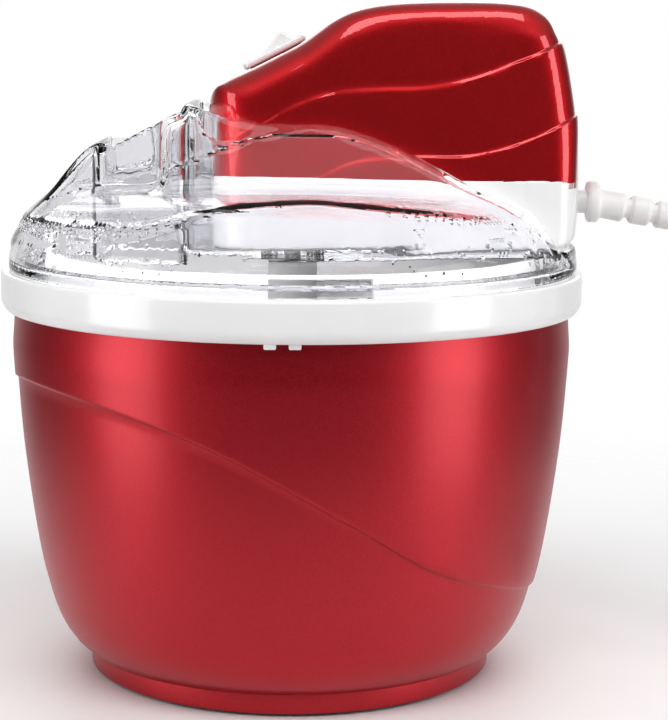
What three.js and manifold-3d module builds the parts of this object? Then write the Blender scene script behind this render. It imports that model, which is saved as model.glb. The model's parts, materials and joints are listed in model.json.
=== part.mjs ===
// Ice cream maker with a lift-out freezer bowl, a clear bayonet lid and a clip-on motor unit.
// Millimetres, +Z up. The origin is the centre of the foot, on the surface it stands on.
// +X points to the rear, where the mains lead leaves the motor unit. -X is the filling chute.
import * as THREE from 'three';
import { mergeVertices } from 'three/addons/utils/BufferGeometryUtils.js';
import Module from 'manifold-3d';

const wasm = await Module();
wasm.setup();

// ---- driving dimensions -------------------------------------------------------------------
const GAP = 0.3; // running and seating clearance between neighbours
const FAR = 300; // half the size of a block that trims or cuts everything on one side
const ROUND = 40; // facets round the largest turned pieces

const RING_RADIUS = 105; // widest part of the object
const RING_TOP = 146;
const RING_BORE = 96.2;
const SHELL_TOP = 137.5;
const SHELL_WALL = 2.2;
const FOOT_RADIUS = 73.7;
const FOOT_HEIGHT = 8.3;

const SEAT_INNER = 66.2; // groove under the foot that holds the rubber ring
const SEAT_OUTER = 72.4;
const SEAT_DEPTH = 3.1;

const BOWL_BOTTOM = 14; // underside of the freezer bowl
const BOWL_TOP = 134;
const BOWL_RIM_RADIUS = 95;
const PAN_FLOOR = 30;
const COLLAR_INNER = 87; // splash collar that stands on the freezer bowl's rim
const COLLAR_OUTER = 89.2;
const COLLAR_TOP = 152.4;
const WINDOW_ANGLE = THREE.MathUtils.degToRad(22); // openings in the collar, one at each lug
const WINDOW_BOTTOM = 144.8;
const WINDOW_TOP = 151;
const SEAL_BOTTOM = 136.8;
const SEAL_TOP = 139.3;

const PADDLE_THICK = 3;
const PADDLE_HUB_RADIUS = 9;
const PADDLE_HUB_TOP = 151;
const HEX_RADIUS = 3.9; // over the corners of the output shaft's hexagonal end
const HEX_SOCKET_RADIUS = 4.6;

const LUG_COUNT = 3;
const LUG_ANGLE = THREE.MathUtils.degToRad(20);
const SLOT_ANGLE = THREE.MathUtils.degToRad(27);
const FIRST_LUG = THREE.MathUtils.degToRad(-84);

const LID_RADIUS = 102.6;
const LID_WALL = 2.2;
const LID_FLOOR = 155.7; // floor of the pocket that the motor unit stands in
const ISLAND_BOTTOM = 150; // the raised part of the lid starts inside the dome
const ISLAND_HEIGHT = 60;
const POCKET_FRONT = -34.6;
const POCKET_HALF = 40.8;
const CHUTE_FRONT = -67.8;
const CHUTE_REAR = -39;
const CHUTE_HALF = 29.8;
const SKIRT_INNER = 93.8; // skirt that reaches down into the rim ring
const SKIRT_OUTER = 95.9;
const SKIRT_BOTTOM = 139.8;
const DRIVE_HOLE_RADIUS = 11;

const UNIT_FRONT = -30.5; // motor unit, front and rear faces
const UNIT_REAR = 102.5;
const UNIT_HALF = 38.5;
const UNIT_BOTTOM = LID_FLOOR + GAP;
const UNIT_SEAM = 176;
const UNIT_TOP = 241;
const UNIT_WALL = 2.2;
const BASE_WALL = 2;
const COVER_ROUNDING = 7; // of the cover's long top edges
const SCREW_POSTS = [
  [-12, -33.2],
  [-12, 33.2],
  [84, -33.2],
  [84, 33.2],
];
const PLATE_POSTS = [
  [-19, -20],
  [-19, 20],
  [89, -19],
  [89, 19],
];

const SWITCH_X = -6.1; // centre of the switch, on the sloping front of the cover
const SWITCH_Z = 221.8;
const SWITCH_TILT = THREE.MathUtils.degToRad(27.3);
const SWITCH_LENGTH = 24.5;
const SWITCH_WIDTH = 17;
const SLEEVE_LENGTH = SWITCH_LENGTH - 4; // the switch frame's sleeve, through the cover
const SLEEVE_WIDTH = 12.8;

const GEAR_MODULE = 1.5;
const WHEEL_TEETH = 24;
const PINION_TEETH = 8;
const GEAR_THICK = 5.2;
const SHAFT_RADIUS = 4;
const AXLE_RADIUS = 1.5;
const CENTRE_DISTANCE = (GEAR_MODULE * (WHEEL_TEETH + PINION_TEETH)) / 2;
const LAYERS = [160.2, 166.4, 172.6]; // undersides of the three gear layers
const PLATE_BOTTOM = 180.4;
const PLATE_THICK = 2;
const MOTOR_X = 3 * CENTRE_DISTANCE;
const MOTOR_RADIUS = 19;
const MOTOR_HEIGHT = 40;
const MOTOR_SCREW_Y = 13;

const CORD_DIAMETER = 6;
const CORD_SLOPE = THREE.MathUtils.degToRad(10); // the strain relief points down by this much
const RELIEF_HEIGHT = 170.9; // hole for the strain relief in the rear of the base
const RELIEF_START = [108.5, 0, RELIEF_HEIGHT - 0.2];
const COIL_CENTRE = [209.2, 34];
const COIL_INNER = 24;
const COIL_OUTER = 42;
const COIL_BOTTOM = 1.2;
const COIL_HEIGHT = 11.4;
const PLUG_PLACE = [249, -4.4, 7.2]; // the end of the plug that the lead enters
const PLUG_HALF_HEIGHT = 6.6;
const PIN_SPREAD = 9.3; // of each pin from the middle of the plug
const PIN_RADIUS = 2;
const PIN_LENGTH = 27;

// The free stretch of the lead, from the strain relief to the start of the coil.
const CORD_ROUTE = [
  [148.7, 0, 163.6],
  [156, 0, 162],
  [163, -0.2, 158],
  [167.8, -0.8, 151.5],
  [170, -2, 143],
  [170.3, -4, 130],
  [170.2, -6.3, 115],
  [170.1, -8.6, 98],
  [170, -10.6, 82],
  [169.9, -12.3, 66],
  [169.9, -13.6, 50],
  [169.9, -13.8, 38],
  [170, -11.6, 25],
  [170.1, -6, 14.5],
  [170.2, 1.8, 7.4],
  [170.2, 11.2, 4.3],
];
// The short stretch from the end of the coil to the plug.
const TAIL_ROUTE = [
  [248.8, 11.5, 8.2],
  [249, 4, 7.5],
  [249, -4, 7.2],
];

// ---- materials ----------------------------------------------------------------------------
function finish(color, roughness, metalness = 0, opacity = 1) {
  return new THREE.MeshStandardMaterial({ color, roughness, metalness, opacity, transparent: opacity < 1 });
}

const redBody = finish(0xb5202c, 0.35, 0.5);
const redCover = finish(0xb00010, 0.15, 0.5);
const whitePlastic = finish(0xf4f4f2, 0.25);
const clearPlastic = finish(0xe4e4ee, 0.05, 0, 0.35);
const aluminium = finish(0xc9cbcd, 0.35, 1);
const mattWhite = finish(0xe4e4e2, 0.55);
const gelBlue = finish(0x9cc6dc, 0.6);
const rubber = finish(0x2b2b2c, 0.85);
const silicone = finish(0xe2e4e4, 0.6);
const nylon = finish(0xece9dc, 0.5);
const steel = finish(0xb9bcc0, 0.3, 1);
const bronze = finish(0xb08d57, 0.4, 1);
const copper = finish(0xa4552a, 0.4, 0.8);
const magnet = finish(0x3a3a3e, 0.6, 0.2);
const board = finish(0x2f6b3a, 0.6);
const blackPlastic = finish(0x1c1c1e, 0.5);

// ---- solids -------------------------------------------------------------------------------
function solid(geometry) {
  const bare = geometry.clone();
  bare.deleteAttribute('normal');
  bare.deleteAttribute('uv');
  const merged = mergeVertices(bare, 1e-4);
  const corners = merged.index.array;
  const kept = [];
  for (let i = 0; i < corners.length; i += 3) {
    const [a, b, c] = [corners[i], corners[i + 1], corners[i + 2]];
    if (a !== b && b !== c && c !== a) kept.push(a, b, c);
  }
  const mesh = new wasm.Mesh({
    numProp: 3,
    vertProperties: merged.attributes.position.array,
    triVerts: Uint32Array.from(kept),
  });
  return new wasm.Manifold(mesh);
}

function surface(manifold) {
  const mesh = manifold.getMesh();
  const geometry = new THREE.BufferGeometry();
  geometry.setAttribute('position', new THREE.BufferAttribute(mesh.vertProperties, 3));
  geometry.setIndex(new THREE.BufferAttribute(mesh.triVerts, 1));
  geometry.computeVertexNormals();
  return geometry;
}

function unite(geometries) {
  return geometries.map(solid).reduce((whole, piece) => whole.add(piece));
}

function extend(body, additions) {
  return additions.map(solid).reduce((whole, piece) => whole.add(piece), body);
}

function carve(body, cuts) {
  return cuts.map(solid).reduce((whole, cut) => whole.subtract(cut), body);
}

// A profile of [radius, height] pairs, run up the outside and down the inside, turned about Z.
function turned(profile, segments = 36) {
  const points = profile.map(([r, z]) => new THREE.Vector2(r, z));
  return new THREE.LatheGeometry(points, segments).rotateX(Math.PI / 2);
}

function ring(inner, outer, bottom, top, segments = 36) {
  const profile = [[inner, bottom], [outer, bottom], [outer, top], [inner, top], [inner, bottom]];
  return turned(profile, segments);
}

function rod(radius, bottom, top, segments = 12) {
  return turned([[0, bottom], [radius, bottom], [radius, top], [0, top]], segments);
}

function box(x0, x1, y0, y1, z0, z1) {
  const geometry = new THREE.BoxGeometry(x1 - x0, y1 - y0, z1 - z0);
  return geometry.translate((x0 + x1) / 2, (y0 + y1) / 2, (z0 + z1) / 2);
}

function outline(points) {
  return new THREE.Shape(points.map(([x, y]) => new THREE.Vector2(x, y)));
}

function upright(shape, bottom, top) {
  const options = { depth: top - bottom, bevelEnabled: false, curveSegments: 4 };
  return new THREE.ExtrudeGeometry(shape, options).translate(0, 0, bottom);
}

// A profile of [x, z] pairs, as thick as the width along Y, with its outer edges rounded over.
function sideways(points, width, rounding = 0) {
  const bevel = { bevelEnabled: rounding > 0, bevelSize: rounding, bevelThickness: rounding };
  const depth = width - 2 * rounding;
  const options = { depth, ...bevel, bevelOffset: -rounding, bevelSegments: 3 };
  const geometry = new THREE.ExtrudeGeometry(outline(points), options);
  return geometry.translate(0, 0, -depth / 2).rotateX(Math.PI / 2);
}

// Rounded rectangle in plan, from x0 to x1, with its own radius at the front and at the rear.
function roundedPlan(x0, x1, half, frontRadius, rearRadius) {
  const shape = new THREE.Shape();
  const quarter = Math.PI / 2;
  shape.absarc(x0 + frontRadius, -half + frontRadius, frontRadius, 2 * quarter, 3 * quarter, false);
  shape.absarc(x1 - rearRadius, -half + rearRadius, rearRadius, -quarter, 0, false);
  shape.absarc(x1 - rearRadius, half - rearRadius, rearRadius, 0, quarter, false);
  shape.absarc(x0 + frontRadius, half - frontRadius, frontRadius, quarter, 2 * quarter, false);
  return shape;
}

// Moves every corner of a closed outline inwards, along the mean of its two edge normals.
function inset(points, distance) {
  return points.map((point, i) => {
    const before = points[(i + points.length - 1) % points.length];
    const after = points[(i + 1) % points.length];
    const intoPoint = new THREE.Vector2(point[0] - before[0], point[1] - before[1]).normalize();
    const outOfPoint = new THREE.Vector2(after[0] - point[0], after[1] - point[1]).normalize();
    const mean = intoPoint.clone().add(outOfPoint).normalize();
    const reach = distance / Math.max(0.5, mean.dot(intoPoint));
    return [point[0] - mean.y * reach, point[1] + mean.x * reach];
  });
}

// A wedge of a ring between two radii, centred on an angle about Z.
function sector(inner, outer, angle, width, bottom, top) {
  const shape = new THREE.Shape();
  shape.absarc(0, 0, outer, angle - width / 2, angle + width / 2, false);
  shape.absarc(0, 0, inner, angle + width / 2, angle - width / 2, true);
  return upright(shape, bottom, top);
}

// ---- scene graph --------------------------------------------------------------------------
const iceCreamMaker = new THREE.Group();

function section() {
  const group = new THREE.Group();
  iceCreamMaker.add(group);
  return group;
}

function place(parent, name, shape, material) {
  const geometry = shape.isBufferGeometry ? shape : surface(shape);
  const mesh = new THREE.Mesh(geometry, material);
  mesh.name = name;
  parent.add(mesh);
  return mesh;
}

function lugAngles() {
  return Array.from({ length: LUG_COUNT }, (_, i) => FIRST_LUG + (i * 2 * Math.PI) / LUG_COUNT);
}

// ---- outer bowl ---------------------------------------------------------------------------
const SHELL_OUTSIDE = [
  [FOOT_RADIUS, 0.8],
  [FOOT_RADIUS, FOOT_HEIGHT],
  [77.4, FOOT_HEIGHT + 0.4],
  [82.4, 14],
  [86.8, 22.5],
  [90.6, 36],
  [94.8, 60],
  [98.9, 100],
  [100.5, 126],
  [100.5, SHELL_TOP],
];

function outerShell() {
  const underside = [[0, 9.6], [64.5, 9.6], [64.5, 0.8]];
  const levels = SHELL_OUTSIDE.slice(4).filter((_, i) => i % 2 === 1).reverse();
  const wall = levels.map(([r, z]) => [r - SHELL_WALL, z]);
  const floor = [[84.2, 24], [77, 12.2], [0, 12.2]];
  return turned([...underside, ...SHELL_OUTSIDE, ...wall, ...floor], ROUND);
}

function addOuterBowl() {
  const group = section();
  const seat = ring(SEAT_INNER, SEAT_OUTER, 0, SEAT_DEPTH, ROUND);
  place(group, 'outer_shell', solid(outerShell()).subtract(solid(seat)), redBody);
  const pad = ring(SEAT_INNER + GAP, SEAT_OUTER - GAP, 0, SEAT_DEPTH - GAP, ROUND);
  place(group, 'foot_pad_ring', pad, rubber);
  place(group, 'rim_ring', rimRing(), whitePlastic);
}

function rimRing() {
  const profile = [
    [101, 131.8],
    [103, 131.8],
    [RING_RADIUS, 134.2],
    [RING_RADIUS, RING_TOP - 0.8],
    [RING_RADIUS - 0.8, RING_TOP],
    [RING_BORE, RING_TOP],
    [RING_BORE, RING_TOP - 2.8],
    [99.8, RING_TOP - 2.8],
    [99.8, 139.3],
    [RING_BORE, 139.3],
    [RING_BORE, SHELL_TOP + GAP],
    [101, SHELL_TOP + GAP],
    [101, 131.8],
  ];
  const slots = lugAngles().map((angle) => sector(90, 99.8, angle, SLOT_ANGLE, RING_TOP - 3, RING_TOP + 1));
  return carve(solid(turned(profile, ROUND)), slots);
}

// ---- freezer bowl and paddle --------------------------------------------------------------
function addFreezerBowl() {
  const group = section();
  const outside = [[0, BOWL_BOTTOM], [62, BOWL_BOTTOM], [76, 23], [82, 45], [88, BOWL_TOP - GAP]];
  const outsideInner = [[86.4, BOWL_TOP - GAP], [80.4, 45.3], [74.8, 24.4], [61.5, 15.6]];
  const jacket = turned([...outside, ...outsideInner, [0, 15.6]]);
  const plugHole = rod(6, 10, 20, 16);
  place(group, 'freezer_bowl_jacket', solid(jacket).subtract(solid(plugHole)), mattWhite);

  const panInside = [[71, BOWL_TOP - GAP], [69, 60], [64.5, 36], [54, PAN_FLOOR], [0, PAN_FLOOR]];
  const panOutside = [[0, 28.8], [54.5, 28.8], [65.6, 35.3], [70.2, 60], [72.2, BOWL_TOP - GAP]];
  place(group, 'freezer_bowl_pan', turned([...panOutside, ...panInside]), aluminium);

  const gelOutside = [[0, 16.2], [60.8, 16.2], [74, 25.2], [79.6, 46], [85.4, 130]];
  const gelInside = [[73, 130], [71, 60], [66.4, 34.6], [55, 28.1], [0, 28.1]];
  place(group, 'coolant_gel', turned([...gelOutside, ...gelInside], 28), gelBlue);

  place(group, 'freezer_bowl_rim', bowlRim(), mattWhite);
  place(group, 'coolant_fill_plug', turned([[0, 13], [5.6, 13], [5.6, 15.9], [0, 15.9]], 16), rubber);
}

function bowlRim() {
  const rimTop = 136.4;
  const rim = [
    [69.5, BOWL_TOP],
    [BOWL_RIM_RADIUS, BOWL_TOP],
    [BOWL_RIM_RADIUS, rimTop],
    [COLLAR_OUTER, rimTop],
    [COLLAR_OUTER, COLLAR_TOP],
    [COLLAR_INNER, COLLAR_TOP],
    [COLLAR_INNER, rimTop],
    [71.5, rimTop],
    [69.5, 135.6],
    [69.5, BOWL_TOP],
  ];
  const [inner, outer] = [COLLAR_INNER - 3, COLLAR_OUTER + 3];
  const windows = lugAngles().map((angle) => {
    return sector(inner, outer, angle, WINDOW_ANGLE, WINDOW_BOTTOM, WINDOW_TOP);
  });
  return carve(solid(turned(rim)), windows);
}

function mirrored(points) {
  return points.map(([x, z]) => [-x, z]).reverse();
}

function addPaddle() {
  const side = [[12, 136], [61, 118], [63.5, 112], [62.5, 60], [58, 43], [50, 34.5]];
  const window = [[7, 112], [7, 45], [46, 45], [51, 60], [52.5, 106]];
  const frame = sideways([...side, ...mirrored(side)].reverse(), PADDLE_THICK);
  const windows = [window, mirrored(window)].map((points) => sideways(points, 3 * PADDLE_THICK));
  const additions = [
    rod(PADDLE_HUB_RADIUS, 128, PADDLE_HUB_TOP, 24),
    rod(5, 33, 60, 12),
    box(57, 62, 0, 9, 62, 108),
    box(-62, -57, -9, 0, 62, 108),
  ];
  const socket = new THREE.CylinderGeometry(HEX_SOCKET_RADIUS, HEX_SOCKET_RADIUS, 16, 6);
  socket.rotateX(Math.PI / 2).translate(0, 0, PADDLE_HUB_TOP - 6);
  const body = extend(carve(solid(frame), windows), additions);
  place(section(), 'paddle', carve(body, [socket]), whitePlastic);
}

// ---- lid ----------------------------------------------------------------------------------
const DOME = [
  [LID_RADIUS, RING_TOP + GAP],
  [LID_RADIUS - 0.2, 150],
  [101.4, 156],
  [99, 160.4],
  [96, 164.6],
  [91.4, 168.4],
  [84, 171.8],
  [74, 174.8],
  [0, 177],
];

// The raised top of the lid in side view: the filling chute, the pocket's front corner, then
// the pocket rim that falls away towards the rear.
const ISLAND_TOP = [
  [-87.5, 171],
  [-84, 175],
  [-79.4, 181],
  [-74.5, 187],
  [-70.5, 191],
  [-68, 192.2],
  [-63, 190.4],
  [-58.5, 192.6],
  [-51, 196.8],
  [-44, 200],
  [-38.6, 202],
  [-37, 205.2],
  [-23, 200.4],
  [-8, 198.6],
  [8, 198],
  [22, 195.4],
  [36, 190],
  [50, 183],
  [62, 176.6],
  [72, 173],
];

// Rounded block whose sides lean in from the bottom plan to the top.
function leaningBlock(x0, x1, half, radius, lean) {
  const shape = roundedPlan(x0, x1, half, radius, radius);
  const bevel = { bevelThickness: ISLAND_HEIGHT, bevelSize: lean, bevelOffset: -lean, bevelSegments: 1 };
  const geometry = new THREE.ExtrudeGeometry(shape, { depth: 0.01, curveSegments: 4, ...bevel });
  const above = box(-FAR, FAR, -FAR, FAR, ISLAND_BOTTOM, ISLAND_BOTTOM + ISLAND_HEIGHT);
  return solid(geometry.translate(0, 0, ISLAND_BOTTOM)).intersect(solid(above));
}

// The raised part of the lid, its outside, or its inside when it is shrunk by the wall.
function island(shrink) {
  const top = ISLAND_TOP.map(([x, z]) => [x, z - shrink]);
  const profile = [[72, ISLAND_BOTTOM], ...top.reverse(), [-87.5, ISLAND_BOTTOM]];
  const block = leaningBlock(-96 + shrink, 96 - shrink, 56 - shrink, 26, 15);
  const chute = leaningBlock(-96 + shrink, 96, CHUTE_HALF + 9 - shrink, 16, 9);
  const pocketSide = solid(box(-45 + shrink, 96, -FAR, FAR, 140, 220));
  return block.intersect(pocketSide).add(chute).intersect(solid(sideways(profile, 2 * FAR)));
}

function lidWallBlock(front, rear, half, bottom) {
  return upright(roundedPlan(front, rear, half, 12, 6), bottom, 220);
}

// Dome and raised part, as one hollow shell.
function lidShell() {
  const domeInside = DOME.slice(1).map(([r, z]) => [Math.max(0, r - LID_WALL), z - LID_WALL]);
  const domeOuter = solid(turned([[0, RING_TOP + GAP], ...DOME], ROUND));
  const innerRadius = LID_RADIUS - LID_WALL - 0.2;
  const domeInner = solid(turned([[0, 140], [innerRadius, 140], ...domeInside], ROUND));
  const outside = domeOuter.add(island(0)).intersect(solid(rod(LID_RADIUS, 140, 230, ROUND)));
  const inside = domeInner.add(island(LID_WALL));
  const pocketRear = 100.5;
  const wallPlans = [
    [POCKET_FRONT - LID_WALL, pocketRear, POCKET_HALF + LID_WALL, LID_FLOOR - LID_WALL],
    [CHUTE_FRONT - LID_WALL, CHUTE_REAR + LID_WALL, CHUTE_HALF + LID_WALL, ISLAND_BOTTOM],
  ];
  const [pocket, chute] = wallPlans.map((plan) => solid(lidWallBlock(...plan)));
  return outside.subtract(inside).add(pocket.add(chute).intersect(outside));
}

function addLid() {
  const group = section();
  const bottom = RING_TOP + GAP;
  const web = ring(SKIRT_INNER, 101.5, bottom, bottom + 2, ROUND);
  const skirt = ring(SKIRT_INNER, SKIRT_OUTER, SKIRT_BOTTOM, RING_TOP + 2, ROUND);
  const lugs = lugAngles().map((angle) => sector(94.5, 99.3, angle, LUG_ANGLE, SKIRT_BOTTOM, 142.9));
  const pocket = upright(roundedPlan(POCKET_FRONT, 140, POCKET_HALF, 12, 12), LID_FLOOR, 230);
  const chute = upright(roundedPlan(CHUTE_FRONT, CHUTE_REAR, CHUTE_HALF, 6, 6), 140, 230);
  const driveHole = rod(DRIVE_HOLE_RADIUS, 140, 170, 32);
  const body = extend(lidShell(), [web, skirt, ...lugs]);
  place(group, 'lid', carve(body, [pocket, chute, driveHole]), clearPlastic);
}

function addLidSeal() {
  place(section(), 'lid_seal', ring(90, 94.2, SEAL_BOTTOM, SEAL_TOP), silicone);
}

// ---- motor unit housings ------------------------------------------------------------------
// Side view of the red cover: sloping front with the switch, long flat top, leaning rear.
const COVER_SIDE = [
  [UNIT_FRONT, UNIT_SEAM + GAP],
  [UNIT_REAR, UNIT_SEAM + GAP],
  [101.8, 188],
  [100, 200],
  [98, 211],
  [95.8, 222],
  [93.6, 229.5],
  [90, 235.5],
  [83, 239.6],
  [72, UNIT_TOP],
  [48, UNIT_TOP],
  [30, 239.8],
  [20, 237.8],
  [13.5, 234.6],
  [8, 230],
  [3, 226.6],
  [-14, 217.8],
  [-25, 213],
  [-28.4, 210.6],
  [-29.8, 206.5],
  [UNIT_FRONT, 198],
];

function unitPlan(shrink) {
  const [front, rear] = [UNIT_FRONT + shrink, UNIT_REAR - shrink];
  return roundedPlan(front, rear, UNIT_HALF - shrink, 15 - shrink, 14 - shrink);
}

function coverBlock(shrink) {
  const side = inset(COVER_SIDE, shrink).map(([x, z], i) => [x, i < 2 ? UNIT_SEAM - 20 : z]);
  const rounded = sideways(side, 2 * (UNIT_HALF - shrink), COVER_ROUNDING - shrink / 2);
  return solid(rounded).intersect(solid(upright(unitPlan(shrink), UNIT_SEAM - 10, UNIT_TOP + 10)));
}

function motorCover() {
  const seam = UNIT_SEAM + GAP;
  const below = box(-FAR, FAR, -FAR, FAR, 0, seam);
  const shell = coverBlock(0).subtract(solid(below)).subtract(coverBlock(UNIT_WALL));
  const posts = atPlaces(SCREW_POSTS, () => rod(4, seam, 198));
  const holes = atPlaces(SCREW_POSTS, () => rod(1.8, UNIT_SEAM - 1, 192, 12));
  const [halfLength, halfWidth] = [SLEEVE_LENGTH / 2 + 0.4, SLEEVE_WIDTH / 2 + 0.5];
  const switchHole = onSlope(box(-halfLength, halfLength, -halfWidth, halfWidth, -8, 8));
  return carve(extend(shell, posts), [...holes, switchHole]);
}

// One copy of a piece at each [x, y] place.
function atPlaces(places, make) {
  return places.map(([x, y]) => make().translate(x, y, 0));
}

// Side view of the white base; its lower rear corner is rounded off towards the lead.
const BASE_SIDE = [
  [UNIT_FRONT, UNIT_BOTTOM],
  [88, UNIT_BOTTOM],
  [96, 157.6],
  [100.6, 161],
  [UNIT_REAR, 166],
  [UNIT_REAR, UNIT_SEAM],
  [UNIT_FRONT, UNIT_SEAM],
];

function baseTray() {
  const open = UNIT_SEAM + 5;
  const inside = inset(BASE_SIDE, BASE_WALL).map(([x, z]) => [x, z > 172 ? open : z]);
  const outer = solid(upright(unitPlan(0), UNIT_BOTTOM, UNIT_SEAM));
  const inner = solid(upright(unitPlan(BASE_WALL), UNIT_BOTTOM, open));
  const hollow = solid(sideways(inside, 90)).intersect(inner);
  return solid(sideways(BASE_SIDE, 2 * UNIT_HALF)).intersect(outer).subtract(hollow);
}

function motorBase() {
  const floor = UNIT_BOTTOM + 0.5;
  const below = UNIT_BOTTOM - 1;
  const axles = [1, 2].map((i) => [i * CENTRE_DISTANCE, 0]);
  const additions = [
    ...atPlaces(SCREW_POSTS, () => rod(4.6, floor, UNIT_SEAM)),
    ...atPlaces(PLATE_POSTS, () => rod(3.6, floor, PLATE_BOTTOM - GAP)),
    ...atPlaces(axles, () => rod(3.4, floor, 159.4)),
  ];
  const cuts = [
    ...atPlaces(SCREW_POSTS, () => rod(1.9, below, 180, 12)),
    ...atPlaces(SCREW_POSTS, () => rod(3.2, below, 168, 16)),
    ...atPlaces(PLATE_POSTS, () => rod(1.4, 168, 190, 12)),
    ...atPlaces(axles, () => rod(AXLE_RADIUS + GAP, 158, 170, 12)),
    rod(7.3, below, 165, 24),
    rod(4.6, -8, 8, 16).rotateY(Math.PI / 2).translate(UNIT_REAR, 0, RELIEF_HEIGHT),
  ];
  return carve(extend(baseTray(), additions), cuts);
}

// Screw that points up, with the underside of its head at the bottom height.
function screw({ bottom, headRadius, headHeight, shankRadius, length }) {
  const neck = bottom + headHeight;
  const profile = [
    [0, bottom],
    [headRadius, bottom],
    [headRadius, neck],
    [shankRadius, neck],
    [shankRadius, neck + length],
    [0, neck + length],
  ];
  return turned(profile, 8);
}

const HOUSING_SCREW = { bottom: 165.6, headRadius: 2.8, headHeight: 2.1, shankRadius: 1.5, length: 20 };
const PLATE_SCREW = { bottom: 0, headRadius: 2.6, headHeight: 1.6, shankRadius: 1.2, length: 9 };
const MOTOR_SCREW = { bottom: 178.5, headRadius: 2.2, headHeight: 1.6, shankRadius: 0.9, length: 4 };

function addHousings() {
  const group = section();
  place(group, 'motor_cover', motorCover(), redCover);
  place(group, 'motor_base', motorBase(), whitePlastic);
  atPlaces(SCREW_POSTS, () => screw(HOUSING_SCREW)).forEach((fastener, i) => {
    place(group, `housing_screw_${i + 1}`, fastener, steel);
  });
}

// ---- switch -------------------------------------------------------------------------------
// Switch pieces are drawn flat, u along the slope and v out of it, and then laid on the slope.
function onSlope(geometry) {
  return geometry.rotateY(-SWITCH_TILT).translate(SWITCH_X, 0, SWITCH_Z);
}

function switchFrame() {
  const half = SWITCH_LENGTH / 2;
  const plate = upright(roundedPlan(-half, half, SWITCH_WIDTH / 2, 3, 3), 0.5, 3.1);
  const [sleeveHalf, sleeveSide] = [SLEEVE_LENGTH / 2, SLEEVE_WIDTH / 2];
  const sleeve = box(-sleeveHalf, sleeveHalf, -sleeveSide, sleeveSide, -7, 1);
  const opening = box(-sleeveHalf + 1, sleeveHalf - 1, -sleeveSide + 1, sleeveSide - 1, -9, 5);
  return carve(unite([plate, sleeve]), [opening]);
}

function addSwitch() {
  const group = section();
  place(group, 'switch_frame', onSlope(surface(switchFrame())), whitePlastic);
  const body = box(-8.6, 8.6, -5.8, 5.8, -17, -7.6);
  const pins = [-4, 4].map((x) => box(x - 2, x + 2, -0.4, 0.4, -23, -16));
  place(group, 'switch_body', onSlope(surface(unite([body, ...pins]))), blackPlastic);
  const rocker = [
    [-8.6, 2.2],
    [-8.6, -1.6],
    [-3, -6.4],
    [3, -6.4],
    [8.6, -1.6],
    [8.6, 2.6],
    [5.6, 7.2],
    [4.4, 7.4],
    [-1, 4.6],
    [-7.6, 3],
  ];
  place(group, 'switch_rocker', onSlope(sideways(rocker, 10)), whitePlastic);
}

// ---- drive train --------------------------------------------------------------------------
function gearOutline(teeth, phase) {
  const pitch = (GEAR_MODULE * teeth) / 2;
  const radii = [pitch - 1.2 * GEAR_MODULE, pitch + 0.8 * GEAR_MODULE];
  const halfWidths = [1.02, 0.3].map((width, i) => (width * GEAR_MODULE) / radii[i]);
  const points = [];
  for (let tooth = 0; tooth < teeth; tooth += 1) {
    const centre = ((tooth + phase) * 2 * Math.PI) / teeth;
    const corners = [[0, -1], [1, -1], [1, 1], [0, 1]];
    for (const [level, side] of corners) {
      const angle = centre + side * halfWidths[level];
      points.push([radii[level] * Math.cos(angle), radii[level] * Math.sin(angle)]);
    }
  }
  return outline(points);
}

function gear(teeth, phase, layer) {
  return upright(gearOutline(teeth, phase), LAYERS[layer], LAYERS[layer] + GEAR_THICK);
}

function compoundGear(wheelLayer, pinionLayer) {
  const low = Math.min(LAYERS[wheelLayer], LAYERS[pinionLayer]);
  const high = Math.max(LAYERS[wheelLayer], LAYERS[pinionLayer]) + GEAR_THICK;
  const core = rod(3.6, low, high, 20);
  const whole = unite([gear(WHEEL_TEETH, 0, wheelLayer), gear(PINION_TEETH, 0.5, pinionLayer), core]);
  return whole.subtract(solid(rod(1.9, low - 1, high + 1, 12)));
}

function addGears(group) {
  const output = solid(gear(WHEEL_TEETH, 0, 0)).subtract(solid(rod(SHAFT_RADIUS + GAP, 150, 175, 24)));
  place(group, 'output_gear', output, nylon);
  place(group, 'gear_second', surface(compoundGear(1, 0)).translate(CENTRE_DISTANCE, 0, 0), nylon);
  place(group, 'gear_first', surface(compoundGear(2, 1)).translate(2 * CENTRE_DISTANCE, 0, 0), nylon);
  const pinion = solid(gear(PINION_TEETH, 0.5, 2)).subtract(solid(rod(AXLE_RADIUS + GAP, 150, 190, 12)));
  place(group, 'motor_pinion', surface(pinion).translate(MOTOR_X, 0, 0), bronze);
}

function addDrive() {
  const group = section();
  addGears(group);
  const hex = new THREE.CylinderGeometry(HEX_RADIUS, HEX_RADIUS, 14.2, 6);
  hex.rotateX(Math.PI / 2).translate(0, 0, 146.9);
  place(group, 'output_shaft', unite([rod(SHAFT_RADIUS, 153.5, 184, 24), hex]), steel);
  [1, 2].forEach((i) => {
    const axle = rod(AXLE_RADIUS, 158.4, 182, 12).translate(i * CENTRE_DISTANCE, 0, 0);
    place(group, `gear_axle_${i}`, axle, steel);
  });
  const bore = SHAFT_RADIUS + GAP;
  const flange = [[7, 158.4], [9.4, 158.4], [9.4, 159.7]];
  const bush = [[bore, 156.4], [7, 156.4], ...flange, [bore, 159.7], [bore, 156.4]];
  place(group, 'shaft_bush', turned(bush, 24), bronze);
  place(group, 'gearbox_plate', gearboxPlate(), steel);
  const headTop = PLATE_BOTTOM + PLATE_THICK + GAP + PLATE_SCREW.headHeight;
  const fasteners = atPlaces(PLATE_POSTS, () => screw(PLATE_SCREW).rotateX(Math.PI).translate(0, 0, headTop));
  fasteners.forEach((fastener, i) => place(group, `plate_screw_${i + 1}`, fastener, steel));
}

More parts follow.
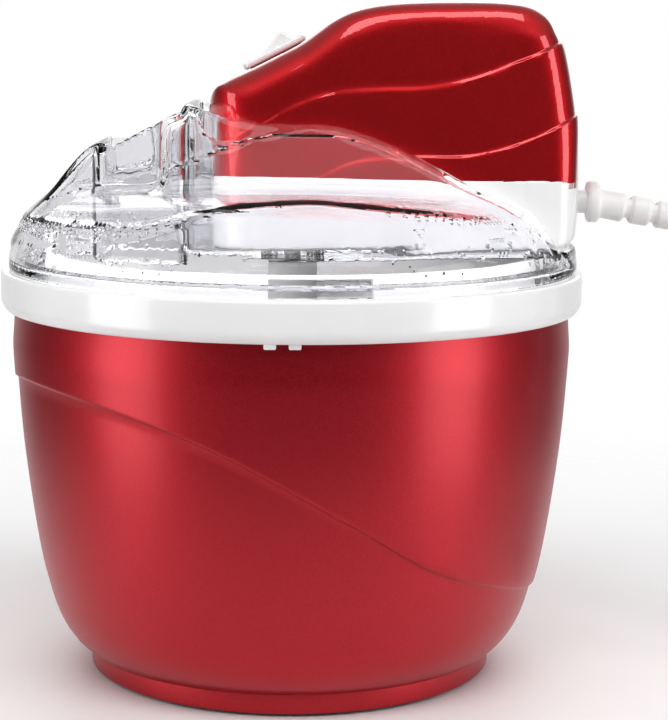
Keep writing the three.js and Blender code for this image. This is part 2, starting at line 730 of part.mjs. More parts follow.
function gearboxPlate() {
  const top = PLATE_BOTTOM + PLATE_THICK;
  const plate = upright(roundedPlan(-25, 94, 26, 6, 6), PLATE_BOTTOM, top);
  const pillars = [-15, 15].map((y) => box(6, 42, y - 1, y + 1, top - 0.5, 187));
  const hole = (radius, segments) => () => rod(radius, 170, 190, segments);
  const axles = [1, 2].map((i) => [i * CENTRE_DISTANCE, 0]);
  const motorScrews = [-MOTOR_SCREW_Y, MOTOR_SCREW_Y].map((y) => [MOTOR_X, y]);
  const cuts = [
    ...atPlaces([[0, 0]], hole(4.4, 24)),
    ...atPlaces(axles, hole(AXLE_RADIUS + GAP, 12)),
    ...atPlaces([[MOTOR_X, 0]], hole(5, 16)),
    ...atPlaces([...PLATE_POSTS, ...motorScrews], hole(1.6, 12)),
    ...atPlaces(SCREW_POSTS, hole(5.2, 16)),
  ];
  return carve(unite([plate, ...pillars]), cuts);
}

// ---- motor --------------------------------------------------------------------------------
function motorCan(bottom, top) {
  const bore = 4.5;
  const inside = MOTOR_RADIUS - 1.5;
  const can = [
    [bore, bottom],
    [MOTOR_RADIUS, bottom],
    [MOTOR_RADIUS, top],
    [inside, top],
    [inside, bottom + 2],
    [bore, bottom + 2],
    [bore, bottom],
  ];
  const screws = [-MOTOR_SCREW_Y, MOTOR_SCREW_Y].map((y) => [0, y]);
  return carve(solid(turned(can, 32)), atPlaces(screws, () => rod(1.2, bottom - 1, bottom + 3, 10)));
}

function motorEndCap(bottom) {
  const bore = 2.2;
  const cap = [
    [bore, bottom],
    [MOTOR_RADIUS, bottom],
    [MOTOR_RADIUS, bottom + 2],
    [7, bottom + 2],
    [6, bottom + 3.7],
    [bore, bottom + 3.7],
    [bore, bottom],
  ];
  return turned(cap, 32);
}

function addMotor() {
  const group = section();
  group.position.set(MOTOR_X, 0, 0);
  const bottom = PLATE_BOTTOM + PLATE_THICK + GAP;
  const top = bottom + MOTOR_HEIGHT;
  place(group, 'motor_can', motorCan(bottom, top), steel);
  place(group, 'motor_end_cap', motorEndCap(top + GAP), blackPlastic);
  [0, Math.PI].forEach((angle, i) => {
    const piece = sector(13.4, MOTOR_RADIUS - 1.9, angle, 2.2, bottom + 6, top - 5);
    place(group, `field_magnet_${i + 1}`, piece, magnet);
  });
  place(group, 'rotor_core', rotorCore(bottom), copper);
  place(group, 'commutator', ring(2.1, 4.5, top - 9, top - 3, 16), bronze);
  place(group, 'rotor_shaft', rod(AXLE_RADIUS, LAYERS[2] - 1, top + 3, 12), steel);
  [-MOTOR_SCREW_Y, MOTOR_SCREW_Y].forEach((y, i) => {
    place(group, `motor_screw_${i + 1}`, screw(MOTOR_SCREW).translate(0, y, 0), steel);
  });
}

function rotorCore(bottom) {
  const core = solid(ring(2.1, 12.4, bottom + 7, bottom + MOTOR_HEIGHT - 10, 24));
  const slots = Array.from({ length: 5 }, (_, i) => sector(9, 14, (i * 2 * Math.PI) / 5, 0.25, 150, 250));
  return carve(core, slots);
}

// ---- electrics ----------------------------------------------------------------------------
function addElectrics() {
  const group = section();
  const boardBottom = 187.3;
  place(group, 'rectifier_board', box(4, 44, -19, 19, boardBottom, boardBottom + 1.6), board);
  const top = boardBottom + 1.6 + GAP;
  const bridge = upright(roundedPlan(8, 22, 6, 1, 1), top, top + 7);
  place(group, 'bridge_rectifier', bridge, blackPlastic);
  const can = [[0, top], [5.4, top], [5.4, top + 15], [4.6, top + 16], [0, top + 16]];
  place(group, 'smoothing_capacitor', turned(can, 20).translate(34, 9, 0), blackPlastic);
  place(group, 'cord_clamp', box(91.5, 97, -8, 8, 164.4, 175), whitePlastic);
}

// ---- mains lead ---------------------------------------------------------------------------
// Turned about a line that leaves the rear of the motor unit at the given slope.
function alongLead(profile, slope) {
  return turned(profile, 12).rotateY(Math.PI / 2 + slope).translate(...RELIEF_START);
}

function strainRelief() {
  const bore = 3.4;
  const neck = [
    [bore, -10],
    [5.2, -10],
    [5.2, -8.6],
    [4.2, -8.6],
    [4.2, -1.7],
    [7.6, -1.7],
    [7.6, 2.8],
    [bore, 2.8],
    [bore, -10],
  ];
  const sleeve = [
    [0, 0],
    [5, 0],
    [5.3, 11.5],
    [4.4, 12.5],
    [4.4, 14],
    [5.3, 15],
    [5.2, 21],
    [4.3, 22],
    [4.3, 23.5],
    [5.1, 24.5],
    [4.8, 30.5],
    [4, 31.5],
    [4, 33],
    [4.6, 34],
    [4.2, 40.5],
    [0, 40.5],
  ];
  const straight = alongLead(neck, 0);
  const sloping = alongLead(sleeve, CORD_SLOPE);
  const hole = rod(bore, -30, 1, 16).rotateY(Math.PI / 2).translate(...RELIEF_START);
  return carve(unite([straight, sloping]), [hole]);
}

function tube(route, radius, steps) {
  const points = route.map((point) => new THREE.Vector3(...point));
  const curve = new THREE.CatmullRomCurve3(points, false, 'centripetal');
  const round = new THREE.Shape();
  round.absarc(0, 0, radius, 0, 2 * Math.PI, false);
  return new THREE.ExtrudeGeometry(round, { steps, extrudePath: curve, curveSegments: 5 });
}

function addLead() {
  const group = section();
  place(group, 'strain_relief', strainRelief(), whitePlastic);
  place(group, 'cord_drop', tube(CORD_ROUTE, CORD_DIAMETER / 2, 22), whitePlastic);
  const coil = ring(COIL_INNER, COIL_OUTER, COIL_BOTTOM, COIL_BOTTOM + COIL_HEIGHT, 32);
  place(group, 'cord_coil', coil.translate(...COIL_CENTRE, 0), whitePlastic);
  place(group, 'cord_tail', tube(TAIL_ROUTE, CORD_DIAMETER / 2, 3), whitePlastic);
  place(group, 'cord_tie', cordTie(), blackPlastic);
  addPlug(group);
}

// A flat strap closed round the coil's section, on the far side from the plug.
function cordTie() {
  const [low, high] = [COIL_BOTTOM - 1.1, COIL_BOTTOM + COIL_HEIGHT + 1.2];
  const band = box(-5, 5, COIL_INNER - 1.4, COIL_OUTER + 1.4, low, high);
  const room = box(-6, 6, COIL_INNER - 0.6, COIL_OUTER + 0.6, low + 0.7, high - 0.8);
  const strap = surface(carve(solid(band), [room]));
  return strap.translate(...COIL_CENTRE, 0);
}

function addPlug(parent) {
  const group = new THREE.Group();
  group.position.set(...PLUG_PLACE);
  parent.add(group);
  const side = [[4.6, 0], [5.2, -8], [8, -12], [12.8, -17], [12.8, -37], [11, -38]];
  const shape = outline([...mirrored(side).reverse(), ...side.reverse()]);
  const body = upright(shape, -PLUG_HALF_HEIGHT, PLUG_HALF_HEIGHT);
  const pins = [-PIN_SPREAD, PIN_SPREAD];
  const alongY = (piece, x, y) => piece.rotateX(Math.PI / 2).translate(x, y, 0);
  const sockets = pins.map((x) => alongY(rod(PIN_RADIUS + GAP, -1, 12, 12), x, -28));
  place(group, 'plug_body', carve(solid(body), sockets), whitePlastic);
  pins.forEach((x, i) => {
    place(group, `plug_pin_${i + 1}`, alongY(rod(PIN_RADIUS, 0, PIN_LENGTH, 12), x, -30), bronze);
  });
}

addOuterBowl();
addFreezerBowl();
addPaddle();
addLidSeal();
addLid();
addHousings();
addSwitch();
addDrive();
addMotor();
addElectrics();
addLead();

export default iceCreamMaker;
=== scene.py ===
"""Ice cream maker: fine meshes, materials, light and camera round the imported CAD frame.

Shapes are drawn in millimetres in the row frame (+Z up, +X to the rear) and become metres in add_mesh.
Most pieces are either turned (a profile swept round the vertical axis) or a field: a function of x, y
and z that is negative inside the piece, meshed where it is zero.
"""

import itertools
import json
import math

import bmesh
import bpy
import numpy as np
from mathutils import Matrix, Vector


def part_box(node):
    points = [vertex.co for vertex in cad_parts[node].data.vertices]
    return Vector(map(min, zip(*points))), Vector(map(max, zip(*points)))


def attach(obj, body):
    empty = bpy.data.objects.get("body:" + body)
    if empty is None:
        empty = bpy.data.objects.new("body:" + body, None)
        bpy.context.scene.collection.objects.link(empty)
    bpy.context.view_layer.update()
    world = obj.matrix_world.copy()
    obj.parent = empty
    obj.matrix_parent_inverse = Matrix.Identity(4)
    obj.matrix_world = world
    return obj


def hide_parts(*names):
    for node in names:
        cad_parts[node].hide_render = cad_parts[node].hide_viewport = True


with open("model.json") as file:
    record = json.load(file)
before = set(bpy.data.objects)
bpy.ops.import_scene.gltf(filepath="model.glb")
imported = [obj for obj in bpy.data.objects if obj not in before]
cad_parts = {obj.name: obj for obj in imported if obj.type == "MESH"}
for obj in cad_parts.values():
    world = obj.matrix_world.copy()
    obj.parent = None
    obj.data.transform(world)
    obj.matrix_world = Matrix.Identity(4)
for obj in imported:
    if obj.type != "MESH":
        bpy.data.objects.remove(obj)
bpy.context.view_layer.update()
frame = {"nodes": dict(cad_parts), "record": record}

MM = 0.001  # drawing units to metres


def box_mm(node):
    """Lowest and highest corner of a CAD node, in millimetres."""
    low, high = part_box(node)
    return np.array(low) / MM, np.array(high) / MM


# ---- driving dimensions, from the frame ----
SHELL_LOW, SHELL_HIGH = box_mm("outer_shell")
RING_LOW, RING_HIGH = box_mm("rim_ring")
LID_LOW, LID_HIGH = box_mm("lid")
COVER_LOW, COVER_HIGH = box_mm("motor_cover")
BASE_LOW, BASE_HIGH = box_mm("motor_base")
PAN_HIGH = box_mm("freezer_bowl_pan")[1]
BOWL_RIM_HIGH = box_mm("freezer_bowl_rim")[1]
SEAL_LOW, SEAL_HIGH = box_mm("lid_seal")
PADDLE_LOW, PADDLE_HIGH = box_mm("paddle")
COIL_LOW, COIL_HIGH = box_mm("cord_coil")
PLUG_LOW, PLUG_HIGH = box_mm("plug_body")
RELIEF_LOW, RELIEF_HIGH = box_mm("strain_relief")

WALL = 2.2  # of the outer bowl, the lid and the motor cover
SEAM = COVER_LOW[2]  # underside of the red cover
UNIT_HALF = COVER_HIGH[1]
LID_EDGE = LID_HIGH[0]  # radius of the edge that rests on the ring

ROUND_STEPS = 240  # steps round the bowl, the ring and the rim
LUG_ANGLES = [math.radians(-84 + 120 * i) for i in range(3)]
SLOT_ANGLE = math.radians(27)
LUG_ANGLE = math.radians(20)


# ---- camera ----
IMAGE_LONG_SIDE = 720
FOCAL_PIXELS = 2028
SENSOR = 36.0
CAMERA_PLACE = (0.0, -0.737, 0.2235)
CAMERA_PITCH = math.radians(8.63)  # down from level
CAMERA_ROLL = math.radians(0.56)
CAMERA_YAW = math.radians(1.205)  # to the right of +Y


def add_camera():
    camera = bpy.data.objects.new("camera", bpy.data.cameras.new("camera"))
    bpy.context.scene.collection.objects.link(camera)
    camera.data.sensor_width = SENSOR
    camera.data.lens = FOCAL_PIXELS * SENSOR / IMAGE_LONG_SIDE
    camera.data.clip_start = 0.01
    look = Matrix.Rotation(math.pi / 2 - CAMERA_PITCH, 4, "X")
    turn = Matrix.Rotation(-CAMERA_YAW, 4, "Z")
    roll = Matrix.Rotation(CAMERA_ROLL, 4, "Z")
    camera.matrix_world = Matrix.Translation(CAMERA_PLACE) @ turn @ look @ roll
    bpy.context.scene.camera = camera


add_camera()

# ---- mains lead ----
CORD_DIAMETER = 0.006
# Free stretch of the lead in metres, from the strain relief to the coil.
CORD_ROUTE = [
    (0.1487, 0, 0.1636), (0.156, 0, 0.162), (0.163, -0.0002, 0.158), (0.1678, -0.0008, 0.1515),
    (0.17, -0.002, 0.143), (0.1703, -0.004, 0.13), (0.1702, -0.0063, 0.115),
    (0.1701, -0.0086, 0.098), (0.17, -0.0106, 0.082), (0.1699, -0.0123, 0.066),
    (0.1699, -0.0136, 0.05), (0.1699, -0.0138, 0.038), (0.17, -0.0116, 0.025),
    (0.1701, -0.006, 0.0145), (0.1702, 0.0018, 0.0074), (0.1702, 0.0112, 0.0043),
    (0.1702, 0.022, 0.0042),
]
# Short stretch from the coil to the plug.
TAIL_ROUTE = [(0.2488, 0.0115, 0.0082), (0.249, 0.004, 0.0075), (0.249, -0.004, 0.0072)]
COIL_LAYERS = (0.0042, 0.0098)  # heights of the two layers of turns
COIL_TURNS = 5.5
POINTS_PER_TURN = 24


def coil_route():
    """Turns wound inwards in the bottom layer, then outwards on top of it, clockwise from above."""
    centre = (COIL_LOW + COIL_HIGH) / 2 * MM
    outer = (COIL_HIGH[0] - COIL_LOW[0]) / 2 * MM - CORD_DIAMETER / 2
    inner = outer - 2 * CORD_DIAMETER
    keys = [0, 0.5, 2.5, 3.0, 5.0, COIL_TURNS]
    radii = [outer, outer, inner, inner, outer, outer]
    heights = [COIL_LAYERS[0], COIL_LAYERS[0], COIL_LAYERS[0], COIL_LAYERS[1], COIL_LAYERS[1], COIL_LAYERS[1]]
    points = []
    for turn in np.linspace(0, COIL_TURNS, int(COIL_TURNS * POINTS_PER_TURN) + 1):
        angle = math.pi - 2 * math.pi * turn
        radius = np.interp(turn, keys, radii)
        height = np.interp(turn, keys, heights)
        points.append((centre[0] + radius * math.cos(angle), centre[1] + radius * math.sin(angle), height))
    return points


def smooth_line(points, steps):
    """Catmull-Rom line through the points, with this many steps between each two."""
    points = np.asarray(points, float)
    padded = np.vstack([2 * points[0] - points[1], points, 2 * points[-1] - points[-2]])
    line = []
    for a, b, c, d in zip(padded, padded[1:], padded[2:], padded[3:]):
        square, cube = 2 * a - 5 * b + 4 * c - d, 3 * b - a - 3 * c + d
        for t in np.arange(steps) / steps:
            line.append(0.5 * (2 * b + (c - a) * t + square * t**2 + cube * t**3))
    line.append(points[-1])
    return np.array(line)


def add_lead():
    route = smooth_line(CORD_ROUTE + coil_route() + TAIL_ROUTE, 3)
    curve = bpy.data.curves.new("mains_lead", "CURVE")
    curve.dimensions = "3D"
    curve.bevel_depth = 1.0
    curve.bevel_resolution = 5
    curve.use_fill_caps = True
    spline = curve.splines.new("POLY")
    spline.points.add(len(route) - 1)
    for point, place in zip(spline.points, route):
        point.co = (*place, 1)
        point.radius = CORD_DIAMETER / 2
    lead = bpy.data.objects.new("mains_lead", curve)
    bpy.context.scene.collection.objects.link(lead)
    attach(lead, "motor_unit")
    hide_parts("cord_drop", "cord_coil", "cord_tail")
    return lead


lead = add_lead()


# ---- meshes ----
WELD_REACH = 1e-4  # points closer than this many millimetres become one


def add_mesh(name, points, faces, normals=None, sharp=math.radians(40)):
    """Mesh object from points in millimetres. Edges sharper than the angle stay crisp."""
    mesh = bpy.data.meshes.new(name)
    mesh.from_pydata((np.asarray(points, float) * MM).tolist(), [], [list(map(int, face)) for face in faces])
    mesh.validate()
    mesh.polygons.foreach_set("use_smooth", np.ones(len(mesh.polygons), bool))
    if normals is None:
        mesh.set_sharp_from_angle(angle=sharp)
    else:
        mesh.normals_split_custom_set_from_vertices(np.asarray(normals, float).tolist())
    piece = bpy.data.objects.new(name, mesh)
    bpy.context.scene.collection.objects.link(piece)
    return piece


def joined(parts):
    """One list of points and one of faces out of several parts."""
    points, faces, count = [], [], 0
    for part_points, part_faces in parts:
        points.append(np.asarray(part_points))
        faces.extend([tuple(corner + count for corner in face) for face in part_faces])
        count += len(part_points)
    return np.vstack(points), faces


def filleted(corners, steps=5):
    """Closed outline of (u, v) or (u, v, rounding) corners, the rounded ones as curves."""
    places = [np.array(corner[:2], float) for corner in corners]
    line = []
    for i, corner in enumerate(corners):
        place, before, after = places[i], places[i - 1], places[(i + 1) % len(places)]
        rounding = corner[2] if len(corner) > 2 else 0
        if rounding == 0:
            line.append(place)
            continue
        back, ahead = before - place, after - place
        start = place + back * min(0.48, rounding / np.linalg.norm(back))
        end = place + ahead * min(0.48, rounding / np.linalg.norm(ahead))
        for t in np.linspace(0, 1, steps):
            line.append((1 - t) ** 2 * start + 2 * t * (1 - t) * place + t**2 * end)
    return np.array(line)


def swept(outlines, angles):
    """Closed surface through one outline of (radius, height) for each angle about Z."""
    outlines = np.asarray(outlines)
    count, size = outlines.shape[:2]
    angles = np.asarray(angles)[:, None]
    radius, height = outlines[..., 0], outlines[..., 1]
    points = np.stack([radius * np.cos(angles), radius * np.sin(angles), height], -1).reshape(-1, 3)
    index = np.arange(count * size).reshape(count, size)
    right, up = np.roll(index, -1, 0), np.roll(index, -1, 1)
    both = np.roll(right, -1, 1)
    faces = np.stack([index, right, both, up], -1).reshape(-1, 4)
    return welded(points, faces)


def welded(points, faces):
    """Points in the same place become one, and faces that have shrunk to nothing go."""
    spots = np.round(points / WELD_REACH).astype(np.int64)
    _, first, same = np.unique(spots, axis=0, return_index=True, return_inverse=True)
    kept = []
    for face in same.reshape(-1)[faces]:
        corners = [c for i, c in enumerate(face) if c != face[i - 1]]
        if len(set(corners)) > 2:
            kept.append(corners)
    return points[first], kept


def turned(corners, steps=160):
    """Outline of (radius, height, rounding) corners, anticlockwise, turned about Z."""
    outline = filleted(corners)
    angles = np.arange(steps) * 2 * math.pi / steps
    return swept(np.repeat(outline[None], steps, 0), angles)


def placed(part, matrix):
    points, faces = part
    turn = np.array(matrix)
    return points @ turn[:3, :3].T + turn[:3, 3], faces


def box_part(xs, ys, zs, bevel=0.35):
    """Box with bevelled edges, as points and faces."""
    size = [(s[1] - s[0]) / 2 for s in (xs, ys, zs)]
    centre = np.array([sum(s) / 2 for s in (xs, ys, zs)])
    points = []
    for sign in itertools.product((-1, 1), repeat=3):
        for axis in range(3):
            corner = [sign[i] * (size[i] - (0 if i == axis else bevel)) for i in range(3)]
            points.append(corner)
    points = np.array(points)
    faces = hull_faces(points)
    return points + centre, faces


def hull_faces(points):
    """Faces of the convex body round the points, facing out."""
    mesh = bmesh.new()
    for point in points:
        mesh.verts.new(point)
    mesh.verts.index_update()
    bmesh.ops.convex_hull(mesh, input=mesh.verts)
    faces = [[vertex.index for vertex in face.verts] for face in mesh.faces]
    mesh.free()
    return faces


def arc_bar(outline, middle, width):
    """Bar of one section bent about Z, with flat ends."""
    steps, count = 16, len(outline)
    angles = middle + width * np.linspace(-0.5, 0.5, steps + 1)
    points = [[r * math.cos(a), r * math.sin(a), z] for a in angles for r, z in outline]
    faces = [list(range(count))[::-1], [steps * count + i for i in range(count)]]
    for i in range(steps):
        for j in range(count):
            k = (j + 1) % count
            faces.append([i * count + j, (i + 1) * count + j, (i + 1) * count + k, i * count + k])
    return np.array(points), [face[::-1] for face in faces]


def angles_with_gaps(width):
    """Angles about Z, doubled at both edges of a gap at each lug, and whether each is in a gap."""
    edge = math.radians(0.02)
    angles = set(np.arange(ROUND_STEPS) * 2 * math.pi / ROUND_STEPS - math.pi)
    for lug in LUG_ANGLES:
        for side in (-1, 1):
            for place in (-edge, edge):
                angles.add(math.remainder(lug + side * (width / 2 + place), 2 * math.pi))
    angles = sorted(angles)

    def in_gap(angle):
        return any(abs(math.remainder(angle - lug, 2 * math.pi)) < width / 2 for lug in LUG_ANGLES)

    return angles, [in_gap(angle) for angle in angles]


# ---- fields ----
SAME_WAY = math.cos(math.radians(30))  # normals closer than this are averaged
MESH_ROUNDS = 4  # moves of each point towards the surface
# Shares of a cell: the step for a slope, the longest move, and how far a point may go from where it starts.
PROBE, LONGEST_MOVE, STRAY = 0.2, 0.5, 0.62
LEAST_STEEPNESS = 0.05
# Grid spacing in millimetres. The lid's keeps it under the export's limit of 200,000 triangles.
CELLS = {
    "paddle_fine": 0.9,
    "lid_fine": 1.35,
    "motor_cover_fine": 0.85,
    "motor_base_fine": 0.95,
    "switch_bezel_fine": 0.45,
    "switch_rocker_fine": 0.4,
    "strain_relief_fine": 0.5,
    "plug_fine": 0.6,
    "cord_tie_fine": 0.4,
}


def join(a, b, blend=0.0):
    """Either of two fields, with a fillet of about the blend where they meet."""
    if blend == 0:
        return np.minimum(a, b)
    h = np.clip(0.5 + 0.5 * (b - a) / blend, 0, 1)
    return b + (a - b) * h - blend * h * (1 - h)


def both(a, b, blend=0.0):
    """What two fields share, with its edge rounded by about the blend."""
    return -join(-a, -b, blend)


def cut(a, b, blend=0.0):
    return both(a, -b, blend)


def rounded(a, b, radius):
    """Corner of this radius between two faces; a and b are measured from faces moved in by the radius."""
    return np.hypot(np.maximum(a, 0), np.maximum(b, 0)) + np.minimum(np.maximum(a, b), 0) - radius


def plan_box(x, y, x0, x1, half, radius):
    """Distance to a rounded rectangle from x0 to x1 and half wide to each side of y = 0."""
    dx = np.abs(x - (x0 + x1) / 2) - (x1 - x0) / 2 + radius
    dy = np.abs(y) - half + radius
    return rounded(dx, dy, radius)


def between(value, low, high):
    return np.maximum(low - value, value - high)


def rod(x, y, z, centre, radius, bottom, top, blend=0.4):
    """Upright rod with slightly rounded ends."""
    return both(np.hypot(x - centre[0], y - centre[1]) - radius, between(z, bottom, top), blend)


def step(value, width):
    """From 0 to 1 across zero, over the width, without a kink."""
    t = np.clip(value / width + 0.5, 0, 1)
    return t * t * (3 - 2 * t)


def outline_distance(outline, margin=14.0, spacing=0.3):
    """Function of two coordinates: the distance to a closed outline, negative inside."""
    outline = np.asarray(outline, float)
    low = outline.min(0) - margin
    sizes = np.ceil((outline.max(0) + margin - low) / spacing).astype(int) + 1
    u, v = np.meshgrid(*[low[i] + spacing * np.arange(sizes[i]) for i in (0, 1)], indexing="ij")
    nearest = np.full(u.shape, np.inf)
    inside = np.zeros(u.shape, bool)
    for a, b in zip(outline, np.roll(outline, -1, 0)):
        edge = b - a
        if edge @ edge < 1e-12:
            continue
        along = np.clip(((u - a[0]) * edge[0] + (v - a[1]) * edge[1]) / (edge @ edge), 0, 1)
        nearest = np.minimum(nearest, (u - a[0] - along * edge[0]) ** 2 + (v - a[1] - along * edge[1]) ** 2)
        if edge[1] != 0:
            inside ^= ((a[1] > v) != (b[1] > v)) & (u < edge[0] * (v - a[1]) / edge[1] + a[0])
    table = np.sqrt(nearest) * np.where(inside, -1, 1)

    def distance(p, q):
        s = np.clip((p - low[0]) / spacing, 0, sizes[0] - 1.001)
        t = np.clip((q - low[1]) / spacing, 0, sizes[1] - 1.001)
        i, j = s.astype(int), t.astype(int)
        fs, ft = s - i, t - j
        near = table[i, j] * (1 - ft) + table[i, j + 1] * ft
        far = table[i + 1, j] * (1 - ft) + table[i + 1, j + 1] * ft
        return near * (1 - fs) + far * fs

    return distance


def meshed(field, low, high, cell, bend=None):
    """Points, quads and normals of the surface where a field of x, y and z is zero.

    The grid is square, or bent by a function that moves its points, so that its rows follow a step.
    """
    bend = bend or (lambda *place: place)

    def on_grid(*place):
        return field(*bend(*place))

    low = np.asarray(low, float) - 2 * cell
    counts = np.ceil((np.asarray(high, float) + 2 * cell - low) / cell).astype(int) + 1
    value = on_grid(*np.meshgrid(*[low[i] + cell * np.arange(counts[i]) for i in range(3)], indexing="ij"))
    inside = value < 0
    nx, ny, nz = counts
    shifts = itertools.product((0, 1), repeat=3)
    corners = [inside[i : nx - 1 + i, j : ny - 1 + j, k : nz - 1 + k] for i, j, k in shifts]
    filled = sum(corner.astype(np.int8) for corner in corners)
    crossed = (filled > 0) & (filled < 8)
    index = np.full(crossed.shape, -1)
    index[crossed] = np.arange(crossed.sum())
    start = low + (np.argwhere(crossed) + 0.5) * cell
    points = np.stack(bend(*settled(on_grid, start, cell).T), -1)
    faces = np.vstack([quads_across(inside, index, axis) for axis in range(3)])
    return points, faces, evened(slope(field, points, 0.3 * cell), faces)


def evened(normals, faces, rounds=3):
    """Normals averaged with those of the neighbours that face nearly the same way."""
    pairs = np.vstack([faces[:, [i, (i + 1) % 4]] for i in range(4)])
    for _ in range(rounds):
        ends = normals[pairs[:, 1]]
        alike = (normals[pairs[:, 0]] * ends).sum(1) > SAME_WAY
        total = 2 * normals
        for axis in range(3):
            total[:, axis] += np.bincount(pairs[alike, 0], ends[alike, axis], len(normals))
        normals = total / np.linalg.norm(total, axis=1, keepdims=True)
    return normals


def slope(field, points, reach):
    """Unit direction in which the field grows, at each point."""
    change = []
    for axis in range(3):
        offset = np.zeros(3)
        offset[axis] = reach
        change.append(field(*(points + offset).T) - field(*(points - offset).T))
    change = np.stack(change, -1)
    return change / np.maximum(np.linalg.norm(change, axis=1, keepdims=True), 1e-9)


def settled(field, start, cell):
    """The starting points, moved on to the surface but kept close to their own cells."""
    points = start.copy()
    reach = PROBE * cell
    for _ in range(MESH_ROUNDS):
        value = field(*points.T)
        change = np.stack([field(*(points + offset).T) - value for offset in reach * np.eye(3)], -1) / reach
        steepness = np.maximum((change**2).sum(1, keepdims=True), LEAST_STEEPNESS)
        move = -value[:, None] * change / steepness
        length = np.maximum(np.linalg.norm(move, axis=1, keepdims=True), 1e-9)
        points = points + move * np.minimum(1, LONGEST_MOVE * cell / length)
        points = np.clip(points, start - STRAY * cell, start + STRAY * cell)
    return points


def quads_across(inside, index, axis):
    """One quad round each grid edge along an axis that passes through the surface."""
    a = np.moveaxis(inside, axis, 0)
    cells = np.moveaxis(index, axis, 0)
    first, second = a[:-1, 1:-1, 1:-1], a[1:, 1:-1, 1:-1]
    quads = np.stack([cells[:, :-1, :-1], cells[:, 1:, :-1], cells[:, 1:, 1:], cells[:, :-1, 1:]], -1)
    leaving = quads[first & ~second]
    entering = quads[~first & second][:, ::-1]
    both_ways = np.vstack([leaving, entering])
    return both_ways if axis != 1 else both_ways[:, ::-1]


def add_field(name, field, low, high, bend=None):
    points, faces, normals = meshed(field, low, high, CELLS[name], bend)
    return add_mesh(name, points, faces, normals)


# ---- materials ----
def new_material(name):
    material = bpy.data.materials.new(name)
    material.use_nodes = True
    tree = material.node_tree
    shader = next(node for node in tree.nodes if node.type == "BSDF_PRINCIPLED")
    return material, tree, shader


def feed(tree, node, inputs):
    """Outputs of other nodes are linked to the node's inputs, and plain values are set on them."""
    for key, value in inputs.items():
        if isinstance(value, bpy.types.NodeSocket):
            tree.links.new(value, node.inputs[key])
        else:
            node.inputs[key].default_value = value


def add_node(tree, kind, inputs=None, **settings):
    node = tree.nodes.new("ShaderNode" + kind)
    for key, value in settings.items():
        setattr(node, key, value)
    feed(tree, node, inputs or {})
    return node


def object_place(tree, stretch=(1, 1, 1)):
    """Place on the object, squeezed or stretched along its axes."""
    place = add_node(tree, "TexCoord").outputs["Object"]
    return add_node(tree, "Mapping", {"Vector": place, "Scale": stretch}).outputs["Vector"]


def noise(tree, scale, detail=3.0, stretch=(1, 1, 1), place=None):
    place = place or object_place(tree, stretch)
    inputs = {"Vector": place, "Scale": scale, "Detail": detail, "Roughness": 0.55}
    return add_node(tree, "TexNoise", inputs).outputs["Fac"]


def ranged(tree, value, low, high, from_low=0.3, from_high=0.7):
    inputs = {"Value": value, "From Min": from_low, "From Max": from_high, "To Min": low, "To Max": high}
    return add_node(tree, "MapRange", inputs).outputs["Result"]


def blended(tree, factor, dark, light):
    mix = add_node(tree, "Mix", data_type="RGBA")
    tree.links.new(factor, mix.inputs[0])
    mix.inputs[6].default_value = (*dark, 1)
    mix.inputs[7].default_value = (*light, 1)
    return mix.outputs[2]


def raised(tree, heights, shader):
    """Chain of bumps, each (height, strength, distance in metres)."""
    normal = None
    for height, strength, distance in heights:
        inputs = {"Height": height, "Strength": strength, "Distance": distance}
        if normal is not None:
            inputs["Normal"] = normal
        normal = add_node(tree, "Bump", inputs).outputs["Normal"]
    tree.links.new(normal, shader.inputs["Normal"])


def finish(name, dark, light, roughness, metallic=0.0, patch=60, grain=2500, bump=0.05, **sockets):
    """Moulded or painted finish: colour and gloss drift in patches, over a fine grain."""
    material, tree, shader = new_material(name)
    drift = noise(tree, patch, 3)
    fine = noise(tree, grain, 2)
    colour = blended(tree, ranged(tree, drift, 0, 1), dark, light)
    gloss = ranged(tree, drift, *roughness)
    feed(tree, shader, {"Base Color": colour, "Roughness": gloss, "Metallic": metallic, **sockets})
    raised(tree, [(fine, bump, 0.0002)], shader)
    return material


def metallic_paint(name, deep, bright, roughness, flake, coat, coat_roughness, peel):
    """Red lacquer over fine metal flakes, under a clear coat with a slight orange peel."""
    material, tree, shader = new_material(name)
    place = object_place(tree)
    cells = add_node(tree, "TexVoronoi", {"Vector": place, "Scale": flake})
    sparkle = ranged(tree, cells.outputs["Color"], 0, 1, 0.1, 0.95)
    drift = noise(tree, 25, 2, place=place)
    shade = add_node(tree, "Math", {0: sparkle, 1: ranged(tree, drift, 0.75, 1.25)}, operation="MULTIPLY")
    colour = blended(tree, shade.outputs[0], deep, bright)
    gloss = ranged(tree, sparkle, *roughness, 0, 1)
    feed(tree, shader, {"Base Color": colour, "Roughness": gloss, "Metallic": 0.85})
    feed(tree, shader, {"Coat Weight": coat, "Coat Roughness": coat_roughness})
    raised(tree, [(noise(tree, 420, 2, place=place), peel, 0.0002), (sparkle, 0.01, 0.0001)], shader)
    return material


def spun_metal(name, dark, light, roughness):
    """Turned metal: fine concentric lines about Z."""
    material, tree, shader = new_material(name)
    place = add_node(tree, "TexCoord").outputs["Object"]
    parts = add_node(tree, "SeparateXYZ", {"Vector": place}).outputs
    across = add_node(tree, "CombineXYZ", {"X": parts["X"], "Y": parts["Y"]}).outputs["Vector"]
    radius = add_node(tree, "VectorMath", {0: across}, operation="LENGTH").outputs["Value"]
    line = add_node(tree, "CombineXYZ", {"X": radius, "Z": parts["Z"]}).outputs["Vector"]
    lines = noise(tree, 1800, 4, place=line)
    stain = noise(tree, 40, 3, place=place)
    colour = blended(tree, ranged(tree, lines, 0, 1), dark, light)
    feed(tree, shader, {"Base Color": colour, "Roughness": ranged(tree, stain, *roughness), "Metallic": 1.0})
    raised(tree, [(lines, 0.12, 0.0001)], shader)
    return material


